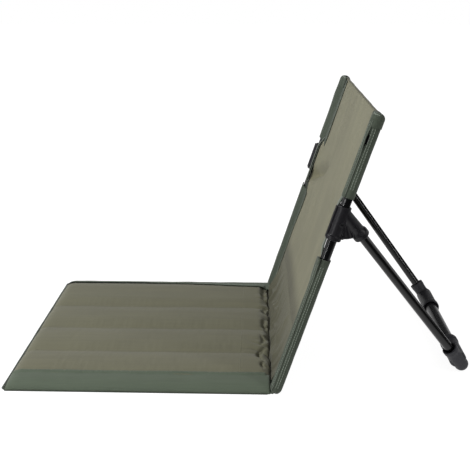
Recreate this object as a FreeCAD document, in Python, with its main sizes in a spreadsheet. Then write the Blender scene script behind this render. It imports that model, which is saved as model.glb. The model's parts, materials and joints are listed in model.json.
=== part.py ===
"""Low ground chair: a quilted mat, a cloth back on two poles, and a stand that props the back.

Millimetres. +Z up, the sitter faces -Y, the sitter's left is +X. The origin lies on the ground, in the
middle of the chair's box. Most sizes below are measured from the point where a pole's axis would meet
the ground, and the whole chair is then moved along Y by origin_shift.
"""
import FreeCAD, Part
import math
import os
import re

import Sketcher
from FreeCAD import Placement, Rotation, Vector

# Driving sizes, in millimetres and degrees
SIZES = {
    # Layout of the frame
    "upright_spacing": 400.0,
    "recline_angle": 17.7,
    "upright_length": 410.0,
    "apex_distance": 277.0,
    "foot_spacing": 248.0,
    "foot_reach": 269.0,
    "bar_height": 19.3,
    "ground_gap": 1.0,
    # Tubes
    "pole_diameter": 13.0,
    "pole_wall": 1.0,
    "bar_diameter": 19.0,
    "bar_wall": 1.2,
    "slip_clearance": 0.06,
    # Plugs in the pole ends
    "cap_head": 2.5,
    "cap_stem": 12.0,
    "cap_ease": 0.2,
    "cap_crown_radius": 3.9,
    # Y hub
    "hub_below": 39.0,
    "hub_above": 8.0,
    "hub_sleeve_radius": 9.3,
    "hub_collar_radius": 10.8,
    "hub_collar_height": 6.0,
    "hub_socket_length": 47.0,
    "hub_socket_radius": 9.2,
    "hub_socket_taper": 1.0,
    "hub_mouth_radius": 11.2,
    "hub_mouth_lip": 7.0,
    "hub_flare": 5.0,
    "hub_socket_floor": 17.0,
    "hub_web_thickness": 8.0,
    "hub_web_drop": 1.5,
    "hub_web_margin": 0.4,
    "hub_rib_thickness": 10.5,
    "hub_rib_width": 1.8,
    "hub_rib_start": 17.0,
    "hub_rib_end": 38.0,
    "hub_flange_width": 4.0,
    "hub_flange_proud": 2.6,
    "hub_flange_margin": 1.5,
    # Rivets through hub and poles
    "rivet_diameter": 3.2,
    "rivet_head_diameter": 6.0,
    "rivet_head_height": 1.2,
    "pole_rivet_distance": 15.4,
    "leg_rivet_distance": 26.0,
    # T foot
    "foot_tip_radius": 10.2,
    "foot_mouth_radius": 11.0,
    "foot_mouth_lip": 6.0,
    "foot_flare": 5.0,
    "foot_mouth_distance": 25.5,
    "foot_mouth_bore": 16.6,
    "foot_mouth_depth": 5.0,
    "foot_leg_floor": 3.0,
    "foot_barrel_radius": 12.4,
    "foot_barrel_collar": 13.6,
    "foot_barrel_lip": 9.0,
    "foot_barrel_length": 58.0,
    "foot_barrel_back": 5.0,
    "foot_barrel_round": 2.4,
    "foot_barrel_mouth_bore": 22.4,
    "foot_barrel_mouth_depth": 6.0,
    "foot_bar_floor": 12.5,
    "bar_end_gap": 9.5,
    # Cloth of the back
    "sleeve_cloth": 0.8,
    "sleeve_ease": 0.1,
    "sleeve_join": 17.0,
    "sleeve_band": 40.0,
    "lower_band_slant": 12.0,
    "upper_band_slant": 5.0,
    "lower_sleeve_end": 209.0,
    "upper_sleeve_start": 297.0,
    "pocket_height": 22.0,
    "pocket_cloth": 1.4,
    "panel_cloth": 1.0,
    "top_hem_height": 12.0,
    "top_hem_cloth": 2.4,
    # Cloth hinge between seat and back
    "hinge_height": 26.0,
    "roll_radius": 3.0,
    "hem_cloth": 1.1,
    "hem_clearance": 0.08,
    "hem_front_angle": 20.0,
    "hem_rear_angle": 80.0,
    "hinge_side_gap": 5.0,
    "flap_cloth": 1.2,
    "flap_tab_height": 9.0,
    # Mat
    "seat_depth": 384.0,
    "seat_gap": 0.7,
    "mat_inset": 20.0,
    "crown_height": 20.0,
    "seam_height": 15.5,
    "side_height": 15.0,
    "base_cloth": 1.0,
    "cover_cloth": 1.0,
    "stitch_wall": 1.5,
    "foam_ease": 0.3,
    "border_width": 23.0,
    "border_bulge": 3.0,
    "border_draw": 1.0,
    "front_edge_height": 7.0,
    "front_slope": 18.0,
    "rear_edge_height": 12.0,
    "rear_slope": 18.0,
    "binding_width": 6.0,
    "binding_nose": 3.0,
}
CHANNELS = 4
SLOPE_STEPS = (0.0, 0.2, 0.55, 1.0)
RIB_SHARES = (0.33, 0.5, 0.67)
SIDES = {"left": 1, "right": -1}

doc = FreeCAD.newDocument("GroundChair")
sheet = doc.addObject("Spreadsheet::Sheet", "Sizes")
known = []


def store(values):
    """Write named numbers into the sheet, one alias per row."""
    for name, value in values.items():
        known.append(name)
        row = len(known)
        sheet.set("A%d" % row, name)
        sheet.set("B%d" % row, "%.9f" % value)
        sheet.setAlias("B%d" % row, name)
    doc.recompute()


def num(name):
    """Value of a named size."""
    return float(sheet.get(name))


def bound(text):
    """Expression in which every size name points at its cell."""
    return re.sub(r"[a-z_]+", lambda m: "Sizes." + m.group(0) if m.group(0) in known else m.group(0), text)


store(SIZES)

# Directions and points that follow from the driving sizes
recline = math.radians(num("recline_angle"))
pole_axis = Vector(0, math.sin(recline), math.cos(recline))
pole_radius = num("pole_diameter") / 2
sleeve_inner = pole_radius + num("sleeve_ease")
sleeve_outer = sleeve_inner + num("sleeve_cloth")


def pole_foot(side):
    """Point where a pole's axis meets the ground, before the origin is moved."""
    return Vector(side * num("upright_spacing") / 2, 0, 0)


def apex(side):
    """Point where the leg's axis meets the pole's axis."""
    return pole_foot(side) + pole_axis * num("apex_distance")


def foot_corner(side):
    """Point where the leg's axis meets the crossbar's axis."""
    return Vector(side * num("foot_spacing") / 2, num("foot_reach"), num("bar_height"))


leg_span = foot_corner(1) - apex(1)
leg_axis = leg_span / leg_span.Length
tip_offset = (num("bar_height") - num("foot_tip_radius")) / -leg_axis.z
rear_end = num("foot_reach") + tip_offset * leg_axis.y + num("foot_tip_radius")
hinge_distance = num("hinge_height") / math.cos(recline)
sleeve_start = (sleeve_outer * math.sin(recline) + num("ground_gap")) / math.cos(recline)

store({
    "pole_radius": pole_radius,
    "bar_radius": num("bar_diameter") / 2,
    "leg_length": leg_span.Length,
    "hub_angle": math.degrees(math.acos(-pole_axis.dot(leg_axis))),
    "foot_angle": math.degrees(math.acos(leg_axis.x)),
    "tip_offset": tip_offset,
    "sleeve_inner": sleeve_inner,
    "sleeve_outer": sleeve_outer,
    "sleeve_start": sleeve_start,
    "hinge_distance": hinge_distance,
    "panel_half": num("upright_spacing") / 2 - num("sleeve_join"),
    "mat_half": num("upright_spacing") / 2 - num("mat_inset"),
    "mat_rear": -sleeve_outer / math.cos(recline) - num("seat_gap"),
    "origin_shift": (num("seat_depth") - rear_end) / 2,
})
shift = Vector(0, num("origin_shift"), 0)
back_turn = Rotation(Vector(1, 0, 0), -num("recline_angle"))
along_x = Rotation(Vector(1, 1, 1), 120)
subparts = {}


def keep(item, label):
    """Name a finished sub-part."""
    item.Label = label
    subparts[label] = item


# Sketch and feature helpers
def plane_of(body, role):
    """Origin plane of a body."""
    return next(item for item in body.Origin.OriginFeatures if item.Role == role)


def new_sketch(body, name, role, turn="0"):
    """Sketch on an origin plane of its body, turned in that plane by an angle expression."""
    sketch = body.newObject("Sketcher::SketchObject", name)
    sketch.AttachmentSupport = [(plane_of(body, role), "")]
    sketch.MapMode = "FlatFace"
    sketch.AttachmentOffset = Placement(Vector(), Rotation(Vector(0, 0, 1), body.evalExpression(bound(turn))))
    return sketch


def draw_outline(sketch, corners):
    """Closed outline of straight lines whose corners are pairs of size expressions."""
    first = sketch.GeometryCount
    texts = [(bound(across), bound(up)) for across, up in corners]
    points = [Vector(sketch.evalExpression(across), sketch.evalExpression(up), 0) for across, up in texts]
    count = len(points)
    for index in range(count):
        sketch.addGeometry(Part.LineSegment(points[index], points[(index + 1) % count]), False)
    for index in range(count):
        line = first + index
        following = first + (index + 1) % count
        sketch.addConstraint(Sketcher.Constraint("Coincident", line, 2, following, 1))
    for index, pair in enumerate(texts):
        for kind, text, value in zip(("DistanceX", "DistanceY"), pair, points[index]):
            number = sketch.addConstraint(Sketcher.Constraint(kind, -1, 1, first + index, 1, value))
            sketch.setExpression("Constraints[%d]" % number, text)


def draw_circle(sketch, across, up, radius):
    """Circle whose centre and radius are size expressions."""
    texts = [bound(text) for text in (across, up, radius)]
    values = [sketch.evalExpression(text) for text in texts]
    ring = sketch.addGeometry(Part.Circle(Vector(values[0], values[1], 0), Vector(0, 0, 1), values[2]), False)
    constraints = (
        Sketcher.Constraint("DistanceX", -1, 1, ring, 3, values[0]),
        Sketcher.Constraint("DistanceY", -1, 1, ring, 3, values[1]),
        Sketcher.Constraint("Radius", ring, values[2]),
    )
    for constraint, text in zip(constraints, texts):
        number = sketch.addConstraint(constraint)
        sketch.setExpression("Constraints[%d]" % number, text)


def turn_profile(body, name, corners, role="YZ_Plane", turn="0", cut=False):
    """Revolve an outline of (radius, height) corners about the sketch's upright axis, or cut it away."""
    sketch = new_sketch(body, name + "Sketch", role, turn)
    draw_outline(sketch, corners)
    feature = body.newObject("PartDesign::Groove" if cut else "PartDesign::Revolution", name)
    feature.Profile = sketch
    feature.ReferenceAxis = (sketch, ["V_Axis"])
    feature.Angle = 360
    doc.recompute()
    return feature


def pad_both_ways(body, name, outlines, thickness):
    """Pad outlines in the middle plane of a body by half a thickness to each side."""
    sketch = new_sketch(body, name + "Sketch", "YZ_Plane")
    for corners in outlines:
        draw_outline(sketch, corners)
    pad = body.newObject("PartDesign::Pad", name)
    pad.Profile = sketch
    pad.Midplane = True
    pad.setExpression("Length", bound(thickness))
    doc.recompute()
    return pad


def new_body(label, point, turn):
    """Empty body that stands at a point of the chair."""
    body = doc.addObject("PartDesign::Body", label)
    body.Placement = Placement(point + shift, turn)
    keep(body, label)
    return body


def frame_turn(across, up):
    """Rotation that takes Z to a direction and Y into the plane of that direction and a second one."""
    level = across - up * across.dot(up)
    return Rotation(Vector(), level, up, "ZYX")


def side_leg_axis(side):
    """Direction down the leg of one side."""
    return Vector(side * leg_axis.x, leg_axis.y, leg_axis.z)


def hub_turn(side):
    """Z up the pole, Y towards the leg."""
    return frame_turn(side_leg_axis(side), pole_axis)


def leg_turn(side):
    """Z up the leg, Y towards the pole."""
    return frame_turn(pole_axis, -side_leg_axis(side))


def foot_turn(side):
    """Z up the leg, Y towards the middle of the chair."""
    return frame_turn(Vector(-side, 0, 0), -side_leg_axis(side))


def make_tube(label, point, turn, radius, wall, length):
    """Round tube along the body's Z axis."""
    body = new_body(label, point, turn)
    inner = "%s - %s" % (radius, wall)
    turn_profile(body, label + "Wall", [(inner, "0"), (radius, "0"), (radius, length), (inner, length)])
    return body


def make_rivet_holes(body, name, places):
    """Cross holes for rivets, square to the hub's plane."""
    sketch = new_sketch(body, name + "Sketch", "YZ_Plane")
    for across, up in places:
        draw_circle(sketch, across, up, "rivet_diameter / 2 + slip_clearance")
    before = body.Shape.Volume
    pocket = body.newObject("PartDesign::Pocket", name)
    pocket.Profile = sketch
    pocket.Midplane = True
    pocket.Type = "ThroughAll"
    doc.recompute()
    if body.Shape.Volume >= before:
        raise RuntimeError(name + " cut nothing")


# Ends of a pole, as distances from the ground along it
POLE_START = "sleeve_start + sleeve_cloth + cap_ease + cap_head"
POLE_END = "upright_length - pocket_cloth - cap_ease - cap_head"


def value_of(text):
    """Number that a size expression gives."""
    return sheet.evalExpression(bound(text))


def pole_point(side, text):
    """Point on a pole's axis at a distance from the ground."""
    return pole_foot(side) + pole_axis * value_of(text)


# Poles, legs and the plugs in the poles' ends
def make_pole(label, side):
    """Pole through a side's sleeves and hub, with its rivet hole."""
    length = "%s - (%s)" % (POLE_END, POLE_START)
    body = make_tube(label, pole_point(side, POLE_START), hub_turn(side), "pole_radius", "pole_wall", length)
    make_rivet_holes(body, label + "Hole", [("0", "apex_distance - pole_rivet_distance - (%s)" % POLE_START)])


def make_cap(label, side, at, up):
    """Plug with a tapered head outside the tube's end and a stem inside it."""
    turn = hub_turn(side)
    if up < 0:
        turn = turn * Rotation(Vector(1, 0, 0), 180)
    body = new_body(label, pole_point(side, at), turn)
    turn_profile(body, label + "Plug", [
        ("0", "-cap_stem"),
        ("pole_radius - pole_wall - slip_clearance", "-cap_stem"),
        ("pole_radius - pole_wall - slip_clearance", "0"),
        ("pole_radius", "0"),
        ("cap_crown_radius", "cap_head"),
        ("0", "cap_head"),
    ])


# Y hub: sleeve on the pole, leaning socket for the leg, ribbed web between them
def leg_place(distance, offset="0"):
    """Point of the hub's plane at a distance down the leg's axis and an offset square to it."""
    across = "(%s) * sin(hub_angle) + (%s) * cos(hub_angle)" % (distance, offset)
    up = "(%s) * sin(hub_angle) - (%s) * cos(hub_angle)" % (offset, distance)
    return across, up


def rib_outline(share):
    """Narrow rib that fans out from the apex, between the pole and the leg."""
    angle = "%.2f * hub_angle" % share
    corners = []
    for reach, edge in (("hub_rib_start", -1), ("hub_rib_end", -1), ("hub_rib_end", 1), ("hub_rib_start", 1)):
        offset = "%d * hub_rib_width / 2" % edge
        across = "%s * sin(%s) + %s * cos(%s)" % (reach, angle, offset, angle)
        up = "%s * sin(%s) - %s * cos(%s)" % (offset, angle, reach, angle)
        corners.append((across, up))
    return corners


def make_hub(label, side):
    """Moulded hub that joins the pole and the leg of a side."""
    body = new_body(label, apex(side), hub_turn(side))
    turn_profile(body, label + "Sleeve", [
        ("0", "-hub_below"),
        ("hub_collar_radius", "-hub_below"),
        ("hub_collar_radius", "hub_collar_height - hub_below"),
        ("hub_sleeve_radius", "hub_collar_height - hub_below"),
        ("hub_sleeve_radius", "hub_above"),
        ("0", "hub_above"),
    ])
    turn_profile(body, label + "Socket", [
        ("0", "-hub_socket_length"),
        ("hub_mouth_radius", "-hub_socket_length"),
        ("hub_mouth_radius", "hub_mouth_lip - hub_socket_length"),
        ("hub_socket_radius", "hub_mouth_lip + hub_flare - hub_socket_length"),
        ("hub_socket_radius - hub_socket_taper", "0"),
        ("0", "0"),
    ], turn="hub_angle")
    lower = "hub_web_margin - hub_below"
    outer = "hub_socket_length - hub_web_margin"
    middle = leg_place("(%s) / 2" % outer)
    web = [
        ("0", lower),
        ("(%s)" % middle[0], "(%s) + (%s) / 2 - hub_web_drop" % (middle[1], lower)),
        leg_place(outer),
        leg_place("0"),
    ]
    pad_both_ways(body, label + "Web", [web], "hub_web_thickness")
    pad_both_ways(body, label + "Ribs", [rib_outline(share) for share in RIB_SHARES], "hub_rib_thickness")
    flange_out = "-hub_sleeve_radius - hub_flange_proud"
    flange = [
        (flange_out, "hub_flange_margin - hub_below"),
        ("0", "hub_flange_margin - hub_below"),
        ("0", "hub_above - hub_flange_margin"),
        (flange_out, "hub_above - hub_flange_margin"),
    ]
    pad_both_ways(body, label + "Flange", [flange], "hub_flange_width")
    bore = "pole_radius + slip_clearance"
    turn_profile(body, label + "PoleBore", [
        ("0", "-hub_below"),
        (bore, "-hub_below"),
        (bore, "hub_above"),
        ("0", "hub_above"),
    ], cut=True)
    turn_profile(body, label + "LegBore", [
        ("0", "-hub_socket_length"),
        (bore, "-hub_socket_length"),
        (bore, "-hub_socket_floor"),
        ("0", "-hub_socket_floor"),
    ], turn="hub_angle", cut=True)
    make_rivet_holes(body, label + "Holes", [("0", "-pole_rivet_distance"), leg_place("leg_rivet_distance")])


def rivet_solid(grip):
    """Rivet with tapered heads along Z whose heads lie a grip's distance from its middle."""
    shank = num("rivet_diameter") / 2
    head = num("rivet_head_diameter") / 2
    dome = num("rivet_head_height")
    profile = [
        Vector(0, 0, -grip - dome), Vector(shank, 0, -grip - dome), Vector(head, 0, -grip),
        Vector(shank, 0, -grip), Vector(shank, 0, grip), Vector(head, 0, grip),
        Vector(shank, 0, grip + dome), Vector(0, 0, grip + dome),
    ]
    face = Part.Face(Part.makePolygon(profile + profile[:1]))
    return face.revolve(Vector(), Vector(0, 0, 1), 360)


def socket_radius(distance):
    """Outer radius of the hub's leg socket at a distance from the apex, in its tapered stretch."""
    taper_end = value_of("hub_socket_length - hub_mouth_lip - hub_flare")
    return num("hub_socket_radius") - num("hub_socket_taper") * (1 - distance / taper_end)


def make_rivets(label):
    """Rivets through both hubs, one in each pole and one in each leg, as one group of separate solids."""
    leg_grip = socket_radius(value_of("leg_rivet_distance + rivet_head_diameter / 2"))
    placed = []
    for side in SIDES.values():
        pole_place = apex(side) - pole_axis * num("pole_rivet_distance")
        leg_place_point = apex(side) + side_leg_axis(side) * num("leg_rivet_distance")
        for point, grip in ((pole_place, num("hub_sleeve_radius")), (leg_place_point, leg_grip)):
            solid = rivet_solid(grip)
            solid.Placement = Placement(point + shift, hub_turn(side) * Rotation(Vector(0, 1, 0), 90))
            placed.append(solid)
    group = doc.addObject("Part::Feature", label)
    group.Shape = Part.makeCompound(placed)
    keep(group, label)


# T foot: leg socket with a rounded tip, and a socket for the crossbar
def make_foot(label, side):
    """Moulded foot at the lower end of a leg."""
    body = new_body(label, foot_corner(side), foot_turn(side))
    turn_profile(body, label + "Socket", [
        ("0", "-tip_offset"),
        ("foot_tip_radius", "-tip_offset"),
        ("foot_tip_radius", "foot_mouth_distance - foot_mouth_lip - foot_flare"),
        ("foot_mouth_radius", "foot_mouth_distance - foot_mouth_lip"),
        ("foot_mouth_radius", "foot_mouth_distance"),
        ("0", "foot_mouth_distance"),
    ])
    tip = body.newObject("PartDesign::AdditiveSphere", label + "Tip")
    tip.Placement = Placement(Vector(0, 0, -num("tip_offset")), Rotation())
    tip.setExpression("Radius", bound("foot_tip_radius"))
    doc.recompute()
    turn_profile(body, label + "Barrel", [
        ("0", "-foot_barrel_back"),
        ("foot_barrel_radius - foot_barrel_round", "-foot_barrel_back"),
        ("foot_barrel_radius", "foot_barrel_round - foot_barrel_back"),
        ("foot_barrel_radius", "foot_barrel_length - foot_barrel_lip"),
        ("foot_barrel_collar", "foot_barrel_length - foot_barrel_lip"),
        ("foot_barrel_collar", "foot_barrel_length"),
        ("0", "foot_barrel_length"),
    ], turn="-foot_angle")
    bore = "pole_radius + slip_clearance"
    turn_profile(body, label + "LegBore", [
        ("0", "-foot_leg_floor"),
        (bore, "-foot_leg_floor"),
        (bore, "foot_mouth_distance - foot_mouth_depth"),
        ("foot_mouth_bore / 2", "foot_mouth_distance - foot_mouth_depth"),
        ("foot_mouth_bore / 2", "foot_mouth_distance"),
        ("0", "foot_mouth_distance"),
    ], cut=True)
    seat = "bar_radius + slip_clearance"
    turn_profile(body, label + "BarBore", [
        ("0", "foot_bar_floor"),
        (seat, "foot_bar_floor"),
        (seat, "foot_barrel_length - foot_barrel_mouth_depth"),
        ("foot_barrel_mouth_bore / 2", "foot_barrel_length - foot_barrel_mouth_depth"),
        ("foot_barrel_mouth_bore / 2", "foot_barrel_length"),
        ("0", "foot_barrel_length"),
    ], turn="-foot_angle", cut=True)


def make_leg(label, side):
    """Leg from the floor of the hub's socket to the floor of the foot's socket."""
    start = foot_corner(side) + side_leg_axis(side) * num("foot_leg_floor")
    length = "leg_length + foot_leg_floor - hub_socket_floor"
    body = make_tube(label, start, leg_turn(side), "pole_radius", "pole_wall", length)
    make_rivet_holes(body, label + "Hole", [("0", "leg_length + foot_leg_floor - leg_rivet_distance")])


def make_crossbar(label):
    """Tube between the feet; it ends short of their sockets' floors, so that the feet can close up."""
    length = "foot_spacing - 2 * (foot_bar_floor + bar_end_gap)"
    start = Vector(-value_of(length) / 2, num("foot_reach"), num("bar_height"))
    make_tube(label, start, along_x, "bar_radius", "bar_wall", length)


# Part primitives for the plain cloth pieces
def cylinder(name, radius, height, base=Vector(), turn=Rotation()):
    """Cylinder whose radius and height are size expressions."""
    item = doc.addObject("Part::Cylinder", name)
    item.setExpression("Radius", bound(radius))
    item.setExpression("Height", bound(height))
    item.Placement = Placement(base, turn)
    return item


def box(name, sizes, base, turn=Rotation()):
    """Box whose three sizes are size expressions."""
    item = doc.addObject("Part::Box", name)
    for edge, text in zip(("Length", "Width", "Height"), sizes):
        item.setExpression(edge, bound(text))
    item.Placement = Placement(base, turn)
    return item


def cut_from(name, base, tool):
    """Base with the tool cut away."""
    item = doc.addObject("Part::Cut", name)
    item.Base = base
    item.Tool = tool
    return item


def fused(name, base, tool):
    """Base and tool as one solid."""
    item = doc.addObject("Part::Fuse", name)
    item.Base = base
    item.Tool = tool
    return item


def make_band(label, side, corners):
    """Flat band of a sleeve on the front of the panel; corners are (inwards, along the pole) pairs."""
    front = -num("panel_cloth") / 2 - num("sleeve_cloth")
    points = [Vector(-side * across, front, along) for across, along in corners]
    band = doc.addObject("Part::Feature", label + "Band")
    band.Shape = Part.Face(Part.makePolygon(points + points[:1])).extrude(Vector(0, num("sleeve_cloth"), 0))
    return band


def make_sleeve(label, side, start, end, cloth, closed=None, band=None):
    """Cloth tunnel round a pole with a sewn tail and band towards the panel; one end may be closed."""
    height = "(%s) - (%s)" % (end, start)
    outer = cylinder(label + "Round", "sleeve_inner + %s" % cloth, height)
    thickness = "2 * %s" % cloth
    tail_base = Vector(0, -value_of(thickness) / 2, 0)
    if side > 0:
        tail_base.x = -num("sleeve_join")
    tail = box(label + "Tail", ("sleeve_join", thickness, height), tail_base)
    floor = num(cloth) if closed == "bottom" else 0.0
    depth = height if closed is None else "%s - %s" % (height, cloth)
    tunnel = cylinder(label + "Tunnel", "sleeve_inner", depth, Vector(0, 0, floor))
    cloths = fused(label + "Cloth", outer, tail)
    if band:
        cloths = fused(label + "Wide", cloths, make_band(label, side, band))
    sleeve = cut_from(label, cloths, tunnel)
    sleeve.Placement = Placement(pole_point(side, start) + shift, back_turn)
    keep(sleeve, label)


def lower_band():
    """Corners of the band beside a lower tunnel, from its lower end."""
    low = value_of("hinge_distance + roll_radius + hem_clearance + hem_cloth - sleeve_start")
    high = value_of("lower_sleeve_end - sleeve_start")
    wide = num("sleeve_band")
    return [(0, low), (wide, low), (wide, high - num("lower_band_slant")), (0, high)]


def upper_band():
    """Corners of the band beside an upper tunnel, from its lower end."""
    high = value_of("upright_length - pocket_height - upper_sleeve_start")
    wide = num("sleeve_band")
    return [(0, 0), (wide, -num("upper_band_slant")), (wide, high), (0, high)]


def back_point(across, forward, along):
    """Point in the plane of the back: across the chair, behind the plane, along the poles."""
    return back_turn.multVec(Vector(across, forward, along)) + shift


def make_back_cloth():
    """Panel, top hem and lower hem of the back."""
    hem_outer = "roll_radius + hem_clearance + hem_cloth"
    low = "hinge_distance + %s" % hem_outer
    high = "upright_length - top_hem_height"
    half = num("panel_half")
    panel_sizes = ("2 * panel_half", "panel_cloth", "%s - (%s)" % (high, low))
    panel_base = back_point(-half, -num("panel_cloth") / 2, value_of(low))
    keep(box("back_panel", panel_sizes, panel_base, back_turn), "back_panel")
    hem_sizes = ("2 * panel_half", "top_hem_cloth", "top_hem_height")
    hem_base = back_point(-half, -num("top_hem_cloth") / 2, value_of(high))
    keep(box("top_hem", hem_sizes, hem_base, back_turn), "top_hem")
    reach = "2 * (panel_half - hinge_side_gap)"
    start = back_point(-half + num("hinge_side_gap"), 0, num("hinge_distance"))
    sector_turn = back_turn * along_x * Rotation(Vector(0, 0, 1), 90 - num("hem_rear_angle"))
    sector = cylinder("HemSector", hem_outer, reach, start, sector_turn)
    sector.setExpression("Angle", bound("hem_front_angle + hem_rear_angle"))
    hollow = cylinder("HemHollow", "roll_radius + hem_clearance", reach, start, sector_turn)
    keep(cut_from("back_hem", sector, hollow), "back_hem")


# Mat: lofted solids
def line(start, end):
    """Straight edge."""
    return Part.LineSegment(start, end).toShape()


def arc(start, middle, end):
    """Round edge through three points."""
    return Part.Arc(start, middle, end).toShape()


def feature(label, shape):
    """Sub-part with a shape that is built in the chair's own places."""
    item = doc.addObject("Part::Feature", label)
    item.Shape = shape
    item.Placement = Placement(shift, Rotation())
    keep(item, label)


def stations(front_inset=0.0, rear_inset=0.0):
    """Places along the mat from front to rear, each with its share of the full height."""
    front = -num("seat_depth") + num("binding_width") + front_inset
    rear = num("mat_rear") - num("flap_cloth") - rear_inset
    low_front = num("front_edge_height") / num("crown_height")
    low_rear = num("rear_edge_height") / num("crown_height")
    places = []
    for step in SLOPE_STEPS:
        rise = math.sqrt(1 - (1 - step) ** 2)
        places.append((front + step * num("front_slope"), low_front + (1 - low_front) * rise))
    for step in reversed(SLOPE_STEPS):
        rise = math.sqrt(1 - (1 - step) ** 2)
        places.append((rear - step * num("rear_slope"), low_rear + (1 - low_rear) * rise))
    return places


def seam_place(index):
    """Distance of a seam from the middle of the mat."""
    return (2 * index / CHANNELS - 1) * num("mat_half")


def seam_top(index, share):
    """Height of the cover at a seam."""
    name = "side_height" if index in (0, CHANNELS) else "seam_height"
    return num("base_cloth") + (num(name) - num("base_cloth")) * share


def crown_top(share):
    """Height of the cover along the middle of a channel."""
    return num("base_cloth") + (num("crown_height") - num("base_cloth")) * share


def channel_arc(index, y, share, side_inset=0.0, drop=0.0):
    """Crowned edge over one channel, drawn in at its sides and lowered by a cloth's thickness."""
    left = seam_place(index)
    right = seam_place(index + 1)
    start = Vector(left + side_inset, y, seam_top(index, share) - drop)
    end = Vector(right - side_inset, y, seam_top(index + 1, share) - drop)
    return arc(start, Vector((left + right) / 2, y, crown_top(share) - drop), end)


def closed_section(top_edges):
    """Section under a row of crowned edges, down to the base cloth."""
    first = top_edges[0].Vertexes[0].Point
    last = top_edges[-1].Vertexes[-1].Point
    floor = num("base_cloth")
    low_first = Vector(first.x, first.y, floor)
    low_last = Vector(last.x, last.y, floor)
    return Part.Wire([line(low_first, first)] + top_edges + [line(last, low_last), line(low_last, low_first)])


def channel_loft(index, end_inset, side_inset, drop):
    """Solid that fills one channel under the cover."""
    places = stations(end_inset, end_inset)
    sections = [closed_section([channel_arc(index, y, share, side_inset, drop)]) for y, share in places]
    return Part.makeLoft(sections, True, True)


def make_mat():
    """Base cloth, quilted cover and the foam in its channels."""
    places = stations()
    depth = "seat_depth - binding_width + mat_rear - flap_cloth"
    base_corner = Vector(-num("mat_half"), places[0][0], 0) + shift
    keep(box("seat_base_cloth", ("2 * mat_half", depth, "base_cloth"), base_corner), "seat_base_cloth")
    sections = []
    for y, share in places:
        sections.append(closed_section([channel_arc(index, y, share) for index in range(CHANNELS)]))
    cover = Part.makeLoft(sections, True, True)
    wall = num("stitch_wall") / 2
    cloth = num("cover_cloth")
    ease = num("foam_ease")
    for index in range(CHANNELS):
        cover = cover.cut(channel_loft(index, cloth, wall, cloth))
    feature("seat_cover", cover)
    for index in range(CHANNELS):
        foam = channel_loft(index, cloth + ease, wall + ease, cloth + ease)
        feature("seat_foam_%d" % (index + 1), foam)


def border_section(side, y, share):
    """Side border: upright inner face, level sole and a bulging outer slope."""
    inner = side * num("mat_half")
    outer = inner + side * (num("border_width") - num("border_draw") * (1 - share))
    top = Vector(inner, y, seam_top(0, share))
    low = Vector(inner, y, 0)
    toe = Vector(outer, y, 0)
    bulge = num("border_bulge") * share
    slope = (top - toe).normalize()
    belly = (top + toe) / 2 + Vector(side * slope.z, 0, -side * slope.x) * bulge
    return Part.Wire([line(low, toe), arc(toe, belly, top), line(top, low)])


def make_borders():
    """Dark borders along both sides of the mat, and the bound front edge."""
    for name, side in SIDES.items():
        sections = [border_section(side, y, share) for y, share in stations()]
        feature(name + "_seat_border", Part.makeLoft(sections, True, True))
    front = -num("seat_depth")
    back = front + num("binding_width")
    height = num("front_edge_height")
    half = num("mat_half") + num("border_width") - num("border_draw") * (1 - height / num("crown_height"))
    bend = front + num("binding_nose")
    corners = [Vector(-half, bend, 0), Vector(-half, back, 0), Vector(-half, back, height),
               Vector(-half, bend, height)]
    edges = [line(corners[index], corners[index + 1]) for index in range(3)]
    nose = arc(corners[3], Vector(-half, front, height / 2), corners[0])
    wire = Part.Wire(edges + [nose])
    feature("front_binding", Part.Face(wire).extrude(Vector(2 * half, 0, 0)))


def make_flap():
    """Sewn flap behind the mat: a tab on the mat's rear edge and a rolled edge on the hinge line."""
    half = num("panel_half") - num("hinge_side_gap")
    cloth = num("flap_cloth")
    hinge = pole_axis * num("hinge_distance")
    tab_front = num("mat_rear") - cloth
    tab_back = num("mat_rear")
    low = num("base_cloth")
    high = num("flap_tab_height")
    bend = Vector(-half, tab_front, high)
    run = Vector(-half, hinge.y, hinge.z) - bend
    across = Vector(0, run.z, -run.y).normalize() * cloth
    outline = [
        Vector(-half, tab_front, low), Vector(-half, tab_back, low), Vector(-half, tab_back, high - cloth),
        Vector(-half, hinge.y, hinge.z) + across, Vector(-half, hinge.y, hinge.z), bend,
    ]
    cloth_strip = Part.Face(Part.makePolygon(outline + outline[:1])).extrude(Vector(2 * half, 0, 0))
    roll = Part.makeCylinder(num("roll_radius"), 2 * half, Vector(-half, hinge.y, hinge.z), Vector(1, 0, 0))
    feature("hinge_flap", cloth_strip.fuse(roll).removeSplitter())


for side_name, side_sign in SIDES.items():
    make_pole(side_name + "_pole", side_sign)
    make_cap(side_name + "_bottom_cap", side_sign, POLE_START, -1)
    make_cap(side_name + "_top_cap", side_sign, POLE_END, 1)
    make_hub(side_name + "_hub", side_sign)
    make_leg(side_name + "_leg", side_sign)
    make_foot(side_name + "_foot", side_sign)
    make_sleeve(side_name + "_lower_sleeve", side_sign, "sleeve_start", "lower_sleeve_end", "sleeve_cloth",
                "bottom", lower_band())
    make_sleeve(side_name + "_upper_sleeve", side_sign, "upper_sleeve_start",
                "upright_length - pocket_height", "sleeve_cloth", None, upper_band())
    make_sleeve(side_name + "_top_pocket", side_sign, "upright_length - pocket_height", "upright_length",
                "pocket_cloth", "top")
make_rivets("hub_rivets")
make_crossbar("crossbar")
make_back_cloth()
make_mat()
make_borders()
make_flap()
doc.recompute()

# Every feature has to be sound before anything is written
for item in doc.Objects:
    if "Invalid" in item.State or "Error" in item.State:
        raise RuntimeError("%s failed: %s" % (item.Label, item.State))
for label, item in subparts.items():
    if item.Shape.isNull() or not item.Shape.isValid() or not item.Shape.Solids:
        raise RuntimeError(label + " has no sound solid")

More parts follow.
